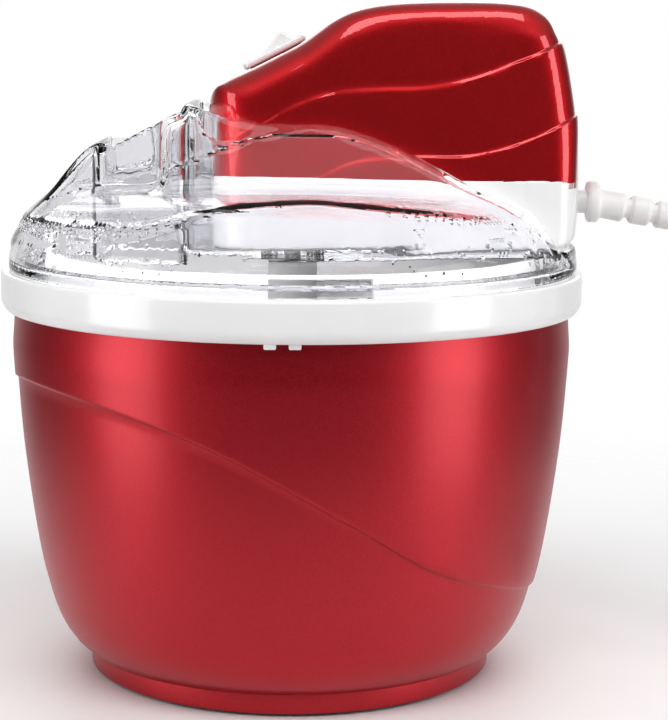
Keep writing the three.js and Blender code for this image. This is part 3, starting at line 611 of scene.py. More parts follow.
def clear_plastic():
    """Polished clear plastic, with the faint ripples and handling haze of a moulded lid."""
    material, tree, shader = new_material("clear_plastic")
    haze = noise(tree, 35, 4)
    gloss = ranged(tree, haze, 0.0, 0.05, 0.45, 0.8)
    tint = blended(tree, ranged(tree, haze, 0, 1), (0.84, 0.84, 0.86), (0.89, 0.89, 0.905))
    feed(tree, shader, {"Base Color": tint, "Roughness": gloss, "Transmission Weight": 1.0, "IOR": 1.32})
    raised(tree, [(noise(tree, 55, 1), 0.08, 0.0003)], shader)
    return material


def wound_copper():
    """Enamelled windings: fine parallel wires with a shade change from turn to turn."""
    material, tree, shader = new_material("wound_copper")
    place = object_place(tree)
    wires = add_node(tree, "TexWave", {"Vector": place, "Scale": 420, "Distortion": 0.6}, bands_direction="Z")
    colour = blended(tree, wires.outputs["Fac"], (0.30, 0.09, 0.03), (0.72, 0.32, 0.14))
    gloss = ranged(tree, noise(tree, 300, 2), 0.25, 0.45)
    feed(tree, shader, {"Base Color": colour, "Roughness": gloss, "Metallic": 0.9})
    raised(tree, [(wires.outputs["Fac"], 0.4, 0.0003)], shader)
    return material


def circuit_board():
    """Green solder mask with paler copper tracks under it."""
    material, tree, shader = new_material("circuit_board")
    bricks = add_node(tree, "TexBrick", {"Vector": object_place(tree), "Scale": 220, "Mortar Size": 0.12})
    tracks = bricks.outputs["Fac"]
    colour = blended(tree, tracks, (0.02, 0.14, 0.05), (0.05, 0.27, 0.10))
    feed(tree, shader, {"Base Color": colour, "Roughness": ranged(tree, noise(tree, 500, 2), 0.3, 0.45)})
    raised(tree, [(tracks, 0.3, 0.0001)], shader)
    return material


# Deep and bright colour, roughness, flakes per metre, coat, its roughness, orange peel.
PAINTS = {
    "red_body": ((0.40, 0.006, 0.014), (0.48, 0.012, 0.024), (0.38, 0.46), 2600, 0.35, 0.25, 0.02),
    "red_cover": ((0.44, 0.0, 0.003), (0.52, 0.001, 0.006), (0.42, 0.48), 2200, 1.0, 0.015, 0.0),
}
# Dark and light colour, roughness.
METALS = {
    "pan_metal": ((0.60, 0.61, 0.62), (0.80, 0.81, 0.82), (0.25, 0.40)),
    "steel": ((0.46, 0.47, 0.49), (0.68, 0.69, 0.71), (0.22, 0.38)),
}
# Dark and light colour, roughness, and what else differs from the plain finish.
FINISHES = {
    "white_gloss": ((0.92, 0.92, 0.925), (0.95, 0.95, 0.95), (0.16, 0.24),
                    {"Coat Weight": 0.3, "bump": 0.02}),
    "white_matt": ((0.80, 0.80, 0.80), (0.86, 0.86, 0.855), (0.45, 0.60), {"bump": 0.25}),
    "gel": ((0.42, 0.62, 0.76), (0.60, 0.76, 0.86), (0.35, 0.50), {"patch": 120, "Subsurface Weight": 0.3}),
    "black_rubber": ((0.022, 0.022, 0.023), (0.040, 0.040, 0.042), (0.70, 0.88), {"bump": 0.3}),
    "silicone": ((0.72, 0.73, 0.74), (0.82, 0.83, 0.83), (0.40, 0.55), {"Subsurface Weight": 0.2}),
    "nylon": ((0.76, 0.74, 0.66), (0.86, 0.84, 0.76), (0.38, 0.50), {"Subsurface Weight": 0.15}),
    "bronze": ((0.50, 0.34, 0.15), (0.74, 0.56, 0.30), (0.28, 0.45),
               {"metallic": 1.0, "patch": 900, "grain": 4000, "bump": 0.15}),
    "magnet": ((0.05, 0.05, 0.055), (0.12, 0.12, 0.13), (0.45, 0.65),
               {"metallic": 0.3, "patch": 400, "bump": 0.2}),
    "black_plastic": ((0.014, 0.014, 0.015), (0.028, 0.028, 0.03), (0.35, 0.5), {"bump": 0.2}),
    "cord_white": ((0.84, 0.84, 0.83), (0.90, 0.90, 0.89), (0.35, 0.48), {"patch": 200, "bump": 0.08}),
}
MATERIALS = {"clear_lid": clear_plastic(), "copper": wound_copper(), "board": circuit_board()}
for slot, values in PAINTS.items():
    MATERIALS[slot] = metallic_paint(slot, *values)
for slot, values in METALS.items():
    MATERIALS[slot] = spun_metal(slot, *values)
for slot, (*values, more) in FINISHES.items():
    MATERIALS[slot] = finish(slot, *values, **more)


def dress(piece, slot):
    piece.data.materials.clear()
    piece.data.materials.append(MATERIALS[slot])


def keep(piece, body, slot, *nodes):
    """The piece rides on a body, stands for these CAD nodes and takes the slot's finish."""
    dress(piece, slot)
    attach(piece, body)
    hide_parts(*nodes)
    return piece


def dress_carried_nodes():
    """Every CAD node that still shows takes the procedural material of its slot."""
    for row in frame["record"]["subparts"]:
        node = frame["nodes"][row["node"]]
        if node.hide_render:
            continue
        for place in range(len(node.material_slots)):
            node.material_slots[place].material = MATERIALS[row["material_slot"]]


dress(lead, "cord_white")


# ---- outer bowl ----
# Height and radius of the outside, from the shoulder over the foot to the rim ring.
BOWL_SIDE = [
    (8.6, 77.0), (12, 80.6), (17, 84.2), (23, 87.0), (31, 89.4), (42, 92.0), (60, 94.8), (85, 97.7),
    (110, 99.5), (126, 100.3), (SHELL_HIGH[2], SHELL_HIGH[0]),
]
# Azimuth from +X and height of the wave-shaped step, the same to each side of the lid's axis.
BOWL_WAVE = [
    (0, 32), (20, 34.5), (40, 42), (60, 53), (80, 73), (105, 96), (129, 107), (155, 110),
    (180, 106),
]
BOWL_STEP = 1.1
BOWL_STEP_WIDTH = 1.3
FOOT_RADIUS = 73.7
FOOT_BORE = 64.5
PAD_INNER, PAD_OUTER, PAD_TOP = 66.2, 72.4, 3.1  # groove for the foot pad


def through(table, steps=24):
    """Smooth curve through a table of (place, value), as a function of the place."""
    line = smooth_line(table, steps)
    return lambda at: np.interp(at, line[:, 0], line[:, 1])


def folded(angle):
    """Azimuth in degrees, from 0 at +X to 180 at -X on either side."""
    return abs(math.degrees(math.atan2(math.sin(angle), math.cos(angle))))


bowl_radius = through(BOWL_SIDE)
bowl_wave = through(BOWL_WAVE)


def bowl_outline(angle):
    wave = float(bowl_wave(folded(angle)))
    low, high = BOWL_SIDE[0][0], SHELL_HIGH[2]
    heights = np.concatenate(
        [
            np.linspace(low, wave - BOWL_STEP_WIDTH / 2, 26),
            wave + BOWL_STEP_WIDTH * np.linspace(-0.5, 0.5, 7)[1:],
            np.linspace(wave + BOWL_STEP_WIDTH / 2, high, 40)[1:],
        ]
    )
    raise_by = BOWL_STEP * step(heights - wave, BOWL_STEP_WIDTH) * step(124 - heights, 14)
    outside = np.stack([bowl_radius(heights) - 0.55 * step(60 - heights, 90) + raise_by, heights], -1)
    inside_heights = np.linspace(high, 24, 14)
    inside = np.stack([bowl_radius(inside_heights) - WALL - 0.6, inside_heights], -1)
    bottom = SHELL_LOW[2]
    foot = [
        (FOOT_BORE, bottom + 8.8, 2), (FOOT_BORE, bottom, 0.4), (PAD_INNER, bottom, 0.2),
        (PAD_INNER, PAD_TOP, 0.2), (PAD_OUTER, PAD_TOP, 0.2), (PAD_OUTER, bottom, 0.2),
        (FOOT_RADIUS, bottom, 0.5), (FOOT_RADIUS, 8.2, 0.6),
    ]
    floor = np.array([(77, 12.2), (0, 12.2), (0, 9.6)])
    return np.vstack([filleted(foot, 4), outside, inside, floor])


def add_outer_bowl():
    angles = np.arange(ROUND_STEPS) * 2 * math.pi / ROUND_STEPS
    points, faces = swept([bowl_outline(angle) for angle in angles], angles)
    keep(add_mesh("outer_bowl", points, faces), "base", "red_body", "outer_shell")
    under = [(66.6, 0.1, 0.5), (68.6, 0.1, 0.3), (69.3, 0.9, 0.3), (70, 0.1, 0.3), (72, 0.1, 0.5)]
    pad = under + [(72, 2.8, 0.3), (66.6, 2.8, 0.3)]
    keep(add_mesh("foot_pad", *turned(pad)), "base", "black_rubber", "foot_pad_ring")


# ---- rim ring ----
RING_BORE = 96.2
GROOVE_RADIUS = 99.8  # of the bayonet groove inside the ring
GROOVE_FLOOR = 139.3
LIP_HEIGHT = 2.8
SHELF = 137.8  # underside of the ring's ledge on the bowl


def ring_outline(slotted):
    """Section of the ring; in a bayonet slot its top lip is cut back to the groove."""
    lip = GROOVE_RADIUS if slotted else RING_BORE
    top = RING_HIGH[2]
    corners = [
        (101, RING_LOW[2], 0.4), (103, RING_LOW[2], 1.2), (105, 134.4, 2.0), (105, top, 1.3),
        (lip, top, 0.3 if slotted else 0.7), (lip, top - LIP_HEIGHT, 0.1 if slotted else 0.3),
        (GROOVE_RADIUS, top - LIP_HEIGHT, 0.1), (GROOVE_RADIUS, GROOVE_FLOOR, 0.1),
        (RING_BORE, GROOVE_FLOOR, 0.3), (RING_BORE, SHELF, 0.3), (101, SHELF, 0.2),
    ]
    return filleted(corners, 6)


def add_rim_ring():
    angles, slotted = angles_with_gaps(SLOT_ANGLE)
    ring = swept([ring_outline(cut_back) for cut_back in slotted], angles)
    tabs = []
    for x in (-7.0, 1.0):
        tabs.append(box_part((x - 2, x + 2), (-102.6, -100.4), (130.2, RING_LOW[2] + 0.5)))
    points, faces = joined([ring, *tabs])
    keep(add_mesh("rim_ring_fine", points, faces), "base", "white_gloss", "rim_ring")


# ---- freezer bowl ----
COLLAR_INNER, COLLAR_OUTER = 87, 89.2
COLLAR_WINDOW = (144.8, 151)
WINDOW_ANGLE = math.radians(22)
RIM_TOP = 136.4


def add_freezer_bowl():
    top = PAN_HIGH[2]
    jacket_outside = [(0, 14), (62, 14, 5), (76, 23, 6), (82, 45, 12), (88, top, 0.2)]
    jacket_inside = [(86.4, top, 0.2), (80.4, 45.3, 12), (74.8, 24.4, 6), (61.5, 15.6, 5), (0, 15.6)]
    pan_outside = [(0, 28.8), (54.5, 28.8, 6), (65.6, 35.3, 6), (70.2, 60, 12), (72.2, top, 0.2)]
    pan_inside = [(71, top, 0.2), (69, 60, 12), (64.5, 36, 6), (54, 30, 6), (0, 30)]
    plug = [(0, 13), (5.6, 13, 0.6), (5.6, 15.9, 0.3), (0, 15.9)]
    for name, outline, slot, node in (
        ("bowl_jacket_fine", jacket_outside + jacket_inside, "white_matt", "freezer_bowl_jacket"),
        ("bowl_pan_fine", pan_outside + pan_inside, "pan_metal", "freezer_bowl_pan"),
        ("fill_plug_fine", plug, "black_rubber", "coolant_fill_plug"),
    ):
        keep(add_mesh(name, *turned(outline)), "freezer_bowl", slot, node)
    keep(add_mesh("bowl_rim_fine", *bowl_rim()), "freezer_bowl", "white_matt", "freezer_bowl_rim")
    bottom, top = SEAL_LOW[2] + 0.1, SEAL_HIGH[2]
    lip = [(90.1, bottom, 0.5), (92.4, bottom + 0.3, 0.4), (94.1, bottom, 0.5)]
    seal = lip + [(94.1, top, 0.7), (90.1, top, 0.7)]
    keep(add_mesh("lid_seal_fine", *turned(seal)), "lid_seal", "silicone", "lid_seal")


def bowl_rim():
    """Rim with a splash collar on it, which has a window at each lug and a bridge over the window."""
    collar_top = BOWL_RIM_HIGH[2]
    low = [
        (69.5, 134, 0.2), (BOWL_RIM_HIGH[0], 134, 0.5), (BOWL_RIM_HIGH[0], RIM_TOP, 0.8),
        (COLLAR_OUTER, RIM_TOP, 0.4),
    ]
    back = [
        (COLLAR_INNER, RIM_TOP, 0.4), (76, RIM_TOP, 0.4), (75.2, 135.8, 0.3), (72.8, RIM_TOP, 0.4),
        (71, RIM_TOP, 0.8), (69.5, 135.4, 0.6),
    ]

    def collar(top):
        return [(COLLAR_OUTER, top, 0.5), (COLLAR_INNER, top, 0.5)]

    at_window = filleted(low + collar(COLLAR_WINDOW[0]) + back)
    elsewhere = filleted(low + collar(collar_top) + back)
    angles, cut_back = angles_with_gaps(WINDOW_ANGLE)
    rim = swept([at_window if gap else elsewhere for gap in cut_back], angles)
    sill = [(COLLAR_INNER, COLLAR_WINDOW[1], 0.3), (COLLAR_OUTER, COLLAR_WINDOW[1], 0.3)]
    over_window = filleted(sill + collar(collar_top))
    bridges = [arc_bar(over_window, angle, WINDOW_ANGLE + math.radians(0.4)) for angle in LUG_ANGLES]
    return joined([rim, *bridges])


PADDLE_SIDE = [(12, 136, 2), (61, 118, 5), (63.4, 112, 4), (62.4, 60, 8), (58, 43, 8), (50, 34.6, 6)]
HEX_RADIUS, HUB_RADIUS, STEM_RADIUS = 4.6, 9, 5
PADDLE_WINDOW = [(7, 112, 3), (7, 45, 3), (46, 45, 4), (51, 60, 6), (52.5, 106, 4)]


def add_paddle():
    left = [(-x, z, r) for x, z, r in PADDLE_SIDE]
    frame_outline = outline_distance(filleted(left[::-1] + PADDLE_SIDE))
    window = outline_distance(filleted(PADDLE_WINDOW))
    turns = [math.pi / 3 * i for i in range(6)]
    hex_outline = [(HEX_RADIUS * math.sin(turn), HEX_RADIUS * math.cos(turn)) for turn in turns]
    hex_socket = outline_distance(hex_outline, 6)

    def field(x, y, z):
        blade = both(cut(frame_outline(x, z), window(np.abs(x), z), 1.0), np.abs(y) - 1.5, 1.2)
        hub = rod(x, y, z, (0, 0), HUB_RADIUS, 128, PADDLE_HIGH[2], 1.0)
        stem = rod(x, y, z, (0, 0), STEM_RADIUS, 33.5, 60, 3.0)
        fin = both(both(between(x * np.sign(y), 57, 62), between(z, 62, 108), 1.5), np.abs(y) - 9, 1.5)
        whole = join(join(blade, hub, 2.0), join(stem, fin), 1.5)
        return cut(whole, both(hex_socket(x, y), 137 - z), 0.4)

    keep(add_field("paddle_fine", field, PADDLE_LOW, PADDLE_HIGH), "paddle", "white_gloss", "paddle")


# ---- lid ----
DOME = [
    (0, 177.2), (30, 177.0), (55, 176.2), (74, 174.4), (84, 172.0), (91.4, 168.2), (96.2, 164.4),
    (99.6, 160), (101.8, 155.4), (103, 151), (LID_EDGE + 0.6, 146.3),
]
POCKET_FRONT = -34.6
POCKET_HALF = 40.8
POCKET_FLOOR = BASE_LOW[2] - 0.3
CHUTE_FRONT, CHUTE_REAR, CHUTE_HALF = -67.8, -39.0, 29.8
# Side view of the raised part's top edge: chute lip, pocket corner, then the fall to the rear.
CREST = [
    (-92, 164), (-87.5, 171), (-82, 177.8), (-77, 184), (-72, 189.2), (-67.5, 191.6), (-63, 190.6),
    (-58.5, 192.6), (-51, 196.8), (-44, 200), (-39, 202), (-36.8, 205.2), (-30, 203.2),
    (-22, 200.6), (-10, 198.9), (2, 198.7), (10, 198.6), (20, 196.8), (36, 191), (50, 184.2),
    (64, 176.4), (80, 168),
]
# Crease on the side of the raised part, from the chute up to its crest.
FLANK = [
    (-92, 170), (-60, 178.5), (-48, 181.7), (-33, 186.9), (-19, 192.2), (-4, 196.5), (8, 199.5),
    (20, 203), (90, 206),
]
# Azimuth and radius of the upper step on the dome, and azimuth and height of the lower one.
UPPER_WAVE = [
    (0, 96), (37, 92.2), (50, 90.3), (69, 83.4), (85, 76.2), (99, 79.9), (112, 88), (122, 93.5),
    (136, 95.2), (180, 98),
]
LOWER_WAVE = [
    (0, 146), (18, 149), (23, 160), (29, 166.3), (43, 165.5), (53, 163.5), (61, 162), (70, 160.2),
    (89, 159.3), (107, 157.3), (129, 153.8), (140, 153.6), (180, 155),
]


def add_lid():
    dome_curve = smooth_line(DOME, 8)
    dome_outline = np.vstack([[(-20, 100), (-20, 177.2)], dome_curve, [(LID_EDGE + 0.6, 100)]])
    dome = outline_distance(dome_outline, 30)
    crest_line = smooth_line(CREST, 6)
    crest = outline_distance(np.vstack([[(-92, 80)], crest_line, [(80, 80)]]), 30)
    flank, upper, lower = through(FLANK), through(UPPER_WAVE), through(LOWER_WAVE)

    def outside(x, y, z, radius):
        azimuth = np.degrees(np.arctan2(np.abs(y), x))
        steps = 1.2 * step(upper(azimuth) - radius, 3.0) + 0.8 * step(z - lower(azimuth), 2.6) - 1.0
        shape = dome(radius, z) - steps
        rise = (z - 150) / 60
        lean = 15 * rise - 5 * np.clip(rise, 0, 1) * (1 - np.clip(rise, 0, 1)) * 2
        ledge = 1.3 * step(z - flank(x), 1.2)
        pocket = plan_box(x, y, -45, 96 - lean, 56 - lean - ledge, 4) * 0.97
        chute = plan_box(x, y, -93 + 9 * rise, 20, CHUTE_HALF + 9 - 9 * rise - ledge, 16) * 0.97
        raised_part = both(join(pocket, chute, 6.0), crest(x, z), 1.6)
        return join(shape, raised_part, 5.0)

    def field(x, y, z):
        radius = np.hypot(x, y)
        outer = outside(x, y, z, radius)
        shell = cut(outer, outer + WALL)
        pocket_plan = plan_box(x, y, POCKET_FRONT - WALL, 150, POCKET_HALF + WALL, 12)
        pocket_wall = both(pocket_plan, POCKET_FLOOR - WALL - z, 1.0)
        chute_plan = plan_box(x, y, CHUTE_FRONT - WALL, CHUTE_REAR + WALL, CHUTE_HALF + WALL, 8)
        chute_wall = both(chute_plan, 150 - z, 1.0)
        walls = both(join(pocket_wall, chute_wall, 1.5), outer)
        shell = join(shell, walls, 1.2)
        skirt = both(between(radius, 93.7, 96.0), between(z, 139.8, 150), 0.6)
        web = both(between(radius, 93.8, LID_EDGE - 1), between(z, 146.3, 148.6), 0.6)
        shell = both(shell, 146.3 - z, 0.4)
        shell = join(join(shell, web, 0.8), both(skirt, outer, 0.4), 0.8)
        shell = join(shell, lugs(x, y, z, radius), 0.5)
        pocket = both(plan_box(x, y, POCKET_FRONT, 160, POCKET_HALF, 12), POCKET_FLOOR - z, 0.8)
        chute = plan_box(x, y, CHUTE_FRONT, CHUTE_REAR, CHUTE_HALF, 6)
        hole = radius - 11
        return cut(cut(cut(shell, pocket, 0.9), chute, 0.9), hole, 0.6)

    piece = add_field("lid_fine", field, LID_LOW, LID_HIGH)
    piece.visible_shadow = False  # clear plastic lets the lamps through
    keep(piece, "lid", "clear_lid", "lid")


def lugs(x, y, z, radius):
    """Three bayonet lugs on the skirt, each a wedge of a ring."""
    azimuth = np.arctan2(y, x)
    whole = None
    for angle in LUG_ANGLES:
        away = np.abs((azimuth - angle + math.pi) % (2 * math.pi) - math.pi)
        wedge = both(between(radius, 95, 99), between(z, 140.1, 142.5), 0.5)
        wedge = both(wedge, (away - LUG_ANGLE / 2) * 97, 0.5)
        whole = wedge if whole is None else np.minimum(whole, wedge)
    return whole


# ---- motor unit ----
# Side view of the red cover above its seam: sloping front, long top, leaning rear.
COVER_SIDE = [
    (100.4, 196), (98.2, 210), (95.8, 222), (93.4, 229.8), (89.4, 235.8), (82, 239.6), (72, 241),
    (60, 241.2), (46, 241), (31, 239.9), (20.5, 237.6), (13.5, 234.3), (8, 230.4), (2, 226.1),
    (-6, 221.9), (-14, 217.8), (-23, 213.6), (-27.4, 210.6), (-29.5, 206), (-30.3, 200),
]
WAVE_HIGH = [
    (-60, 178), (-30, 189), (-11.5, 198.5), (1.4, 205.8), (16, 210), (30, 211.2), (45, 211.8),
    (59.5, 214.4), (74, 219.6), (90, 226.4), (110, 237),
]
WAVE_LOW = [
    (-60, 150), (0, 176), (20, 185.5), (39.7, 188), (57, 188.2), (70, 190.3), (82, 194.2),
    (95, 200.6), (115, 212),
]
COVER_ROUNDING = 11
UNIT_CROWN = 3.0
FRONT_ROUNDING, REAR_ROUNDING = 18, 12  # of the unit's corners in plan
UNIT_MIDDLE = (COVER_LOW[0] + COVER_HIGH[0]) / 2
COVER_STEP = 0.8
SCREW_POSTS = [(-12, -33.2), (-12, 33.2), (84, -33.2), (84, 33.2)]
SWITCH_CENTRE = (-6.1, 0, 221.8)
SWITCH_TILT = math.radians(27.3)
SWITCH_LENGTH, SWITCH_WIDTH = 24.5, 17
RELIEF_HEIGHT = 170.9
COVER_POST, COVER_PILOT = 4, 1.8  # radii of the posts and of the holes in them
BASE_POST, BASE_HOLE, COUNTERBORE = 4.6, 1.9, 3.2
PLATE_POST, PLATE_PILOT = 3.6, 1.4
COUNTERBORE_TOP = 168
SHAFT_HOLE, RELIEF_HOLE = 7.3, 4.6
PLATE_POSTS = [(-19, -20), (-19, 20), (89, -19), (89, 19)]


def crown(x):
    """How far the long sides have fallen back from their widest place."""
    return UNIT_CROWN * ((x - UNIT_MIDDLE) / (COVER_HIGH[0] - UNIT_MIDDLE)) ** 2


def unit_plan(x, y):
    """Plan of the motor unit: a rounded rectangle whose long sides bulge a little."""
    rear = plan_box(x, y, COVER_LOW[0] - 40, COVER_HIGH[0], UNIT_HALF, REAR_ROUNDING)
    front = plan_box(x, y, COVER_LOW[0], COVER_HIGH[0] + 40, UNIT_HALF, FRONT_ROUNDING)
    return np.maximum(front, rear) + crown(x) * step(np.abs(y) - 20, 20)


def on_slope(x, z):
    """Coordinates along the cover's slope and out of it, from the centre of the switch."""
    dx, dz = x - SWITCH_CENTRE[0], z - SWITCH_CENTRE[2]
    cos, sin = math.cos(SWITCH_TILT), math.sin(SWITCH_TILT)
    return dx * cos + dz * sin, dz * cos - dx * sin


def add_cover():
    line = smooth_line(COVER_SIDE, 8)
    side = outline_distance(np.vstack([[(102.9, 140), (102.5, 178)], line, [(-30.5, 190), (-30.5, 140)]]), 20)
    high, low = through(WAVE_HIGH), through(WAVE_LOW)

    def body(x, y, z):
        fade = step(236 - z, 10)
        recess = COVER_STEP * (step(z - high(x), 0.9) * fade + step(z - low(x), 0.9) * fade)
        across = np.abs(y) - UNIT_HALF + COVER_ROUNDING + recess + crown(x)
        along = side(x, z) + COVER_ROUNDING + recess * step(x - 60, 30)
        edge = rounded(across, along, COVER_ROUNDING)
        plan = unit_plan(x, y) + recess * step(x + 20, 20)
        return both(edge, plan, 1.0)

    def field(x, y, z):
        outer = body(x, y, z)
        shell = cut(outer, outer + WALL)
        posts = None
        for centre in SCREW_POSTS:
            post = rod(x, y, z, centre, COVER_POST, SEAM, 198)
            post = cut(post, rod(x, y, z, centre, COVER_PILOT, SEAM - 5, 192), 0.2)
            posts = post if posts is None else np.minimum(posts, post)
        shell = join(shell, both(posts, outer + 1), 0.8)
        u, v = on_slope(x, z)
        opening = both(both(np.abs(u) - 10.6, np.abs(y) - 6.9), np.abs(v) - 8)
        return both(cut(shell, opening, 0.3), SEAM - z, 0.5)

    def bend(x, y, z):
        """Rows of the grid run along both waves, and lie closer together there."""
        rows = [SEAM - 4, SEAM + 12, SEAM + 40, COVER_HIGH[2] + 4]
        lower = np.clip(low(x), SEAM + 3, 206)
        upper = np.clip(high(x), lower + 8, 232)
        heights = [rows[0], lower, upper, rows[3]]
        lifted = np.full(np.shape(z), rows[0], float)
        for i in range(3):
            along = np.clip((z - rows[i]) / (rows[i + 1] - rows[i]), 0, 1)
            lifted = lifted + (heights[i + 1] - heights[i]) * along
        return x, y, lifted + np.minimum(z - rows[0], 0) + np.maximum(z - rows[3], 0)

    box = COVER_LOW, COVER_HIGH + 1
    keep(add_field("motor_cover_fine", field, *box, bend), "motor_unit", "red_cover", "motor_cover")


def add_base():
    x0, x1, bottom, top = BASE_LOW[0], BASE_HIGH[0], BASE_LOW[2], BASE_HIGH[2]
    profile = [(x0, bottom), (88, bottom, 4), (96, 157.6, 4), (100.6, 161, 3), (x1, 166, 3)]
    side = outline_distance(filleted(profile + [(x1, top + 20), (x0, top + 20)]), 8)

    def field(x, y, z):
        plan = unit_plan(x, y)
        solid = both(both(side(x, z), plan, 1.5), z - top, 0.5)
        hollow = both(side(x, z) + 2, plan + 2, 1.0)
        tray = cut(solid, hollow, 0.4)
        for centre in SCREW_POSTS:
            tray = join(tray, both(rod(x, y, z, centre, BASE_POST, bottom, top), solid), 0.6)
            tray = cut(tray, rod(x, y, z, centre, BASE_HOLE, bottom - 5, top + 5), 0.2)
            tray = cut(tray, rod(x, y, z, centre, COUNTERBORE, bottom - 5, COUNTERBORE_TOP), 0.3)
        for centre in PLATE_POSTS:
            tray = join(tray, both(rod(x, y, z, centre, PLATE_POST, bottom, 180.1), plan), 0.6)
            tray = cut(tray, rod(x, y, z, centre, PLATE_PILOT, 168, 190), 0.2)
        tray = cut(tray, rod(x, y, z, (0, 0), SHAFT_HOLE, bottom - 5, 165), 0.3)
        relief = both(np.hypot(y, z - RELIEF_HEIGHT) - RELIEF_HOLE, 94 - x)
        return cut(tray, relief, 0.3)

    high = BASE_HIGH + np.array([0, 0, 5])
    keep(add_field("motor_base_fine", field, BASE_LOW, high), "motor_unit", "white_gloss", "motor_base")


def add_switch():
    half = SWITCH_LENGTH / 2

    def bezel(x, y, z):
        u, v = on_slope(x, z)
        plate = both(plan_box(u, y, -half, half, SWITCH_WIDTH / 2, 3), between(v, 0.5, 3.1), 1.1)
        sleeve = both(both(np.abs(u) - half + 2, np.abs(y) - 6.4), between(v, -7, 1))
        opening = both(plan_box(u, y, -half + 3, half - 3, 5.4, 0.8), v - 9)
        return cut(join(plate, sleeve), opening, 0.5)

    outline = [
        (-8.6, 2.2, 0.8), (-8.6, -1.6, 0.5), (-3, -6.4, 1), (3, -6.4, 1), (8.6, -1.6, 0.5),
        (8.6, 2.6, 0.8), (5.6, 7.2, 1.2), (4.4, 7.4, 1.0), (-1, 4.6, 4), (-7.6, 3, 1),
    ]
    shape = outline_distance(filleted(outline), 6, 0.15)

    def rocker(x, y, z):
        u, v = on_slope(x, z)
        return both(shape(u, v), np.abs(y) - 5, 1.0)

    low, high = box_mm("switch_frame")
    keep(add_field("switch_bezel_fine", bezel, low, high), "motor_unit", "white_gloss", "switch_frame")
    low, high = box_mm("switch_rocker")
    keep(add_field("switch_rocker_fine", rocker, low, high), "rocker", "white_gloss", "switch_rocker")


# ---- strain relief, plug and tie ----
RELIEF_SLOPE = math.radians(10)
RELIEF_START = (108.5, 0, 170.7)
RELIEF_SLEEVE = [
    (-2, 5.2), (11.4, 5.35), (12.6, 4.3), (14.2, 4.3), (15.4, 5.3), (21, 5.2), (22.2, 4.2),
    (23.8, 4.2), (25, 5.1), (30.6, 4.9), (31.8, 4.0), (33.2, 4.0), (34.4, 4.6), (40.5, 4.1),
]


def add_strain_relief():
    line = np.array(RELIEF_SLEEVE, float)
    cos, sin = math.cos(RELIEF_SLOPE), math.sin(RELIEF_SLOPE)

    def field(x, y, z):
        dx, dz = x - RELIEF_START[0], z - RELIEF_START[2]
        along, off = dx * cos - dz * sin, dx * sin + dz * cos
        radius = np.hypot(y, off)
        thick = np.interp(along, line[:, 0], line[:, 1])
        sleeve = both(radius - thick, between(along, -1, 40.5), 0.8)
        straight = np.hypot(y, dz)
        flange = both(straight - 7.6, between(dx, -1.7, 2.8), 1.6)
        neck = both(straight - 4.2, between(dx, -10, 0))
        collar = both(straight - 5.2, between(dx, -10, -8.6), 0.3)
        whole = join(join(sleeve, flange, 0.8), join(neck, collar))
        slits = both(np.abs(y) - 2.2, np.abs(off) - 8)
        for start in (12.2, 21.9, 31.5):
            groove = both(both(slits, between(along, start, start + 2.2)), 2.6 - np.abs(off))
            whole = cut(whole, groove, 0.3)
        return cut(whole, both(radius - 2.9, between(along, -20, 42)))

    piece = add_field("strain_relief_fine", field, RELIEF_LOW, RELIEF_HIGH)
    keep(piece, "motor_unit", "cord_white", "strain_relief")


def add_plug():
    centre_x, front = (PLUG_LOW[0] + PLUG_HIGH[0]) / 2, PLUG_HIGH[1]
    middle = (PLUG_LOW[2] + PLUG_HIGH[2]) / 2
    half = [(0, 0), (4.6, 0, 1), (5.2, -8, 3), (8, -12, 3), (12.8, -17, 3), (12.8, -36.5, 2), (11.4, -38, 1)]
    outline = half + [(-x, *rest) for x, *rest in half[:0:-1]]
    body = outline_distance(filleted(outline[::-1]), 6, 0.2)

    def field(x, y, z):
        u, v = x - centre_x, y - front
        thick = np.interp(v, [-38, -17, -10, 0], [6.5, 6.5, 5.6, 4.6])
        shape = both(body(u, v), np.abs(z - middle) - thick, 2.6)
        ribs = both(between((v + 100) % 3.0, 0, 1.2), between(v, -9, -1.5))
        shape = cut(shape, both(ribs, -(np.abs(z - middle) - 3.6)), 0.3)
        pins = np.hypot(np.abs(u) - 9.3, z - middle) - 2.2
        return cut(shape, both(pins, v + 28), 0.3)

    keep(add_field("plug_fine", field, PLUG_LOW, PLUG_HIGH), "motor_unit", "white_gloss", "plug_body")
    for name in ("plug_pin_1", "plug_pin_2"):
        low, high = box_mm(name)
        length = high[1] - low[1]
        pin = turned([(0, 0), (2, 0, 0.3), (2, length, 1.2), (0, length, 0)], 40)
        root = Matrix.Translation(((low[0] + high[0]) / 2, high[1], (low[2] + high[2]) / 2))
        lay = root @ Matrix.Rotation(math.pi / 2, 4, "X")
        keep(add_mesh(name + "_fine", *placed(pin, lay)), "motor_unit", "bronze", name)


def add_tie():
    """Flat strap closed round the coil, with its end folded over a small buckle."""
    low, high = box_mm("cord_tie")
    middle = (low + high) / 2
    reach, half_height = (high[1:] - low[1:]) / 2 - 0.1

    def field(x, y, z):
        across, along, height = np.abs(x - middle[0]), y - middle[1], z - middle[2]
        outer = plan_box(along, height, -reach, reach, half_height, 3.0)
        band = both(between(outer, -0.9, 0), across - 4.6, 0.3)
        buckle = both(across - 4.9, np.abs(along) - 3.0, 0.6)
        buckle = both(buckle, between(z, high[2] - 1.4, high[2] - 0.1), 0.4)
        return join(band, buckle, 0.2)

    keep(add_field("cord_tie_fine", field, low, high), "motor_unit", "black_plastic", "cord_tie")


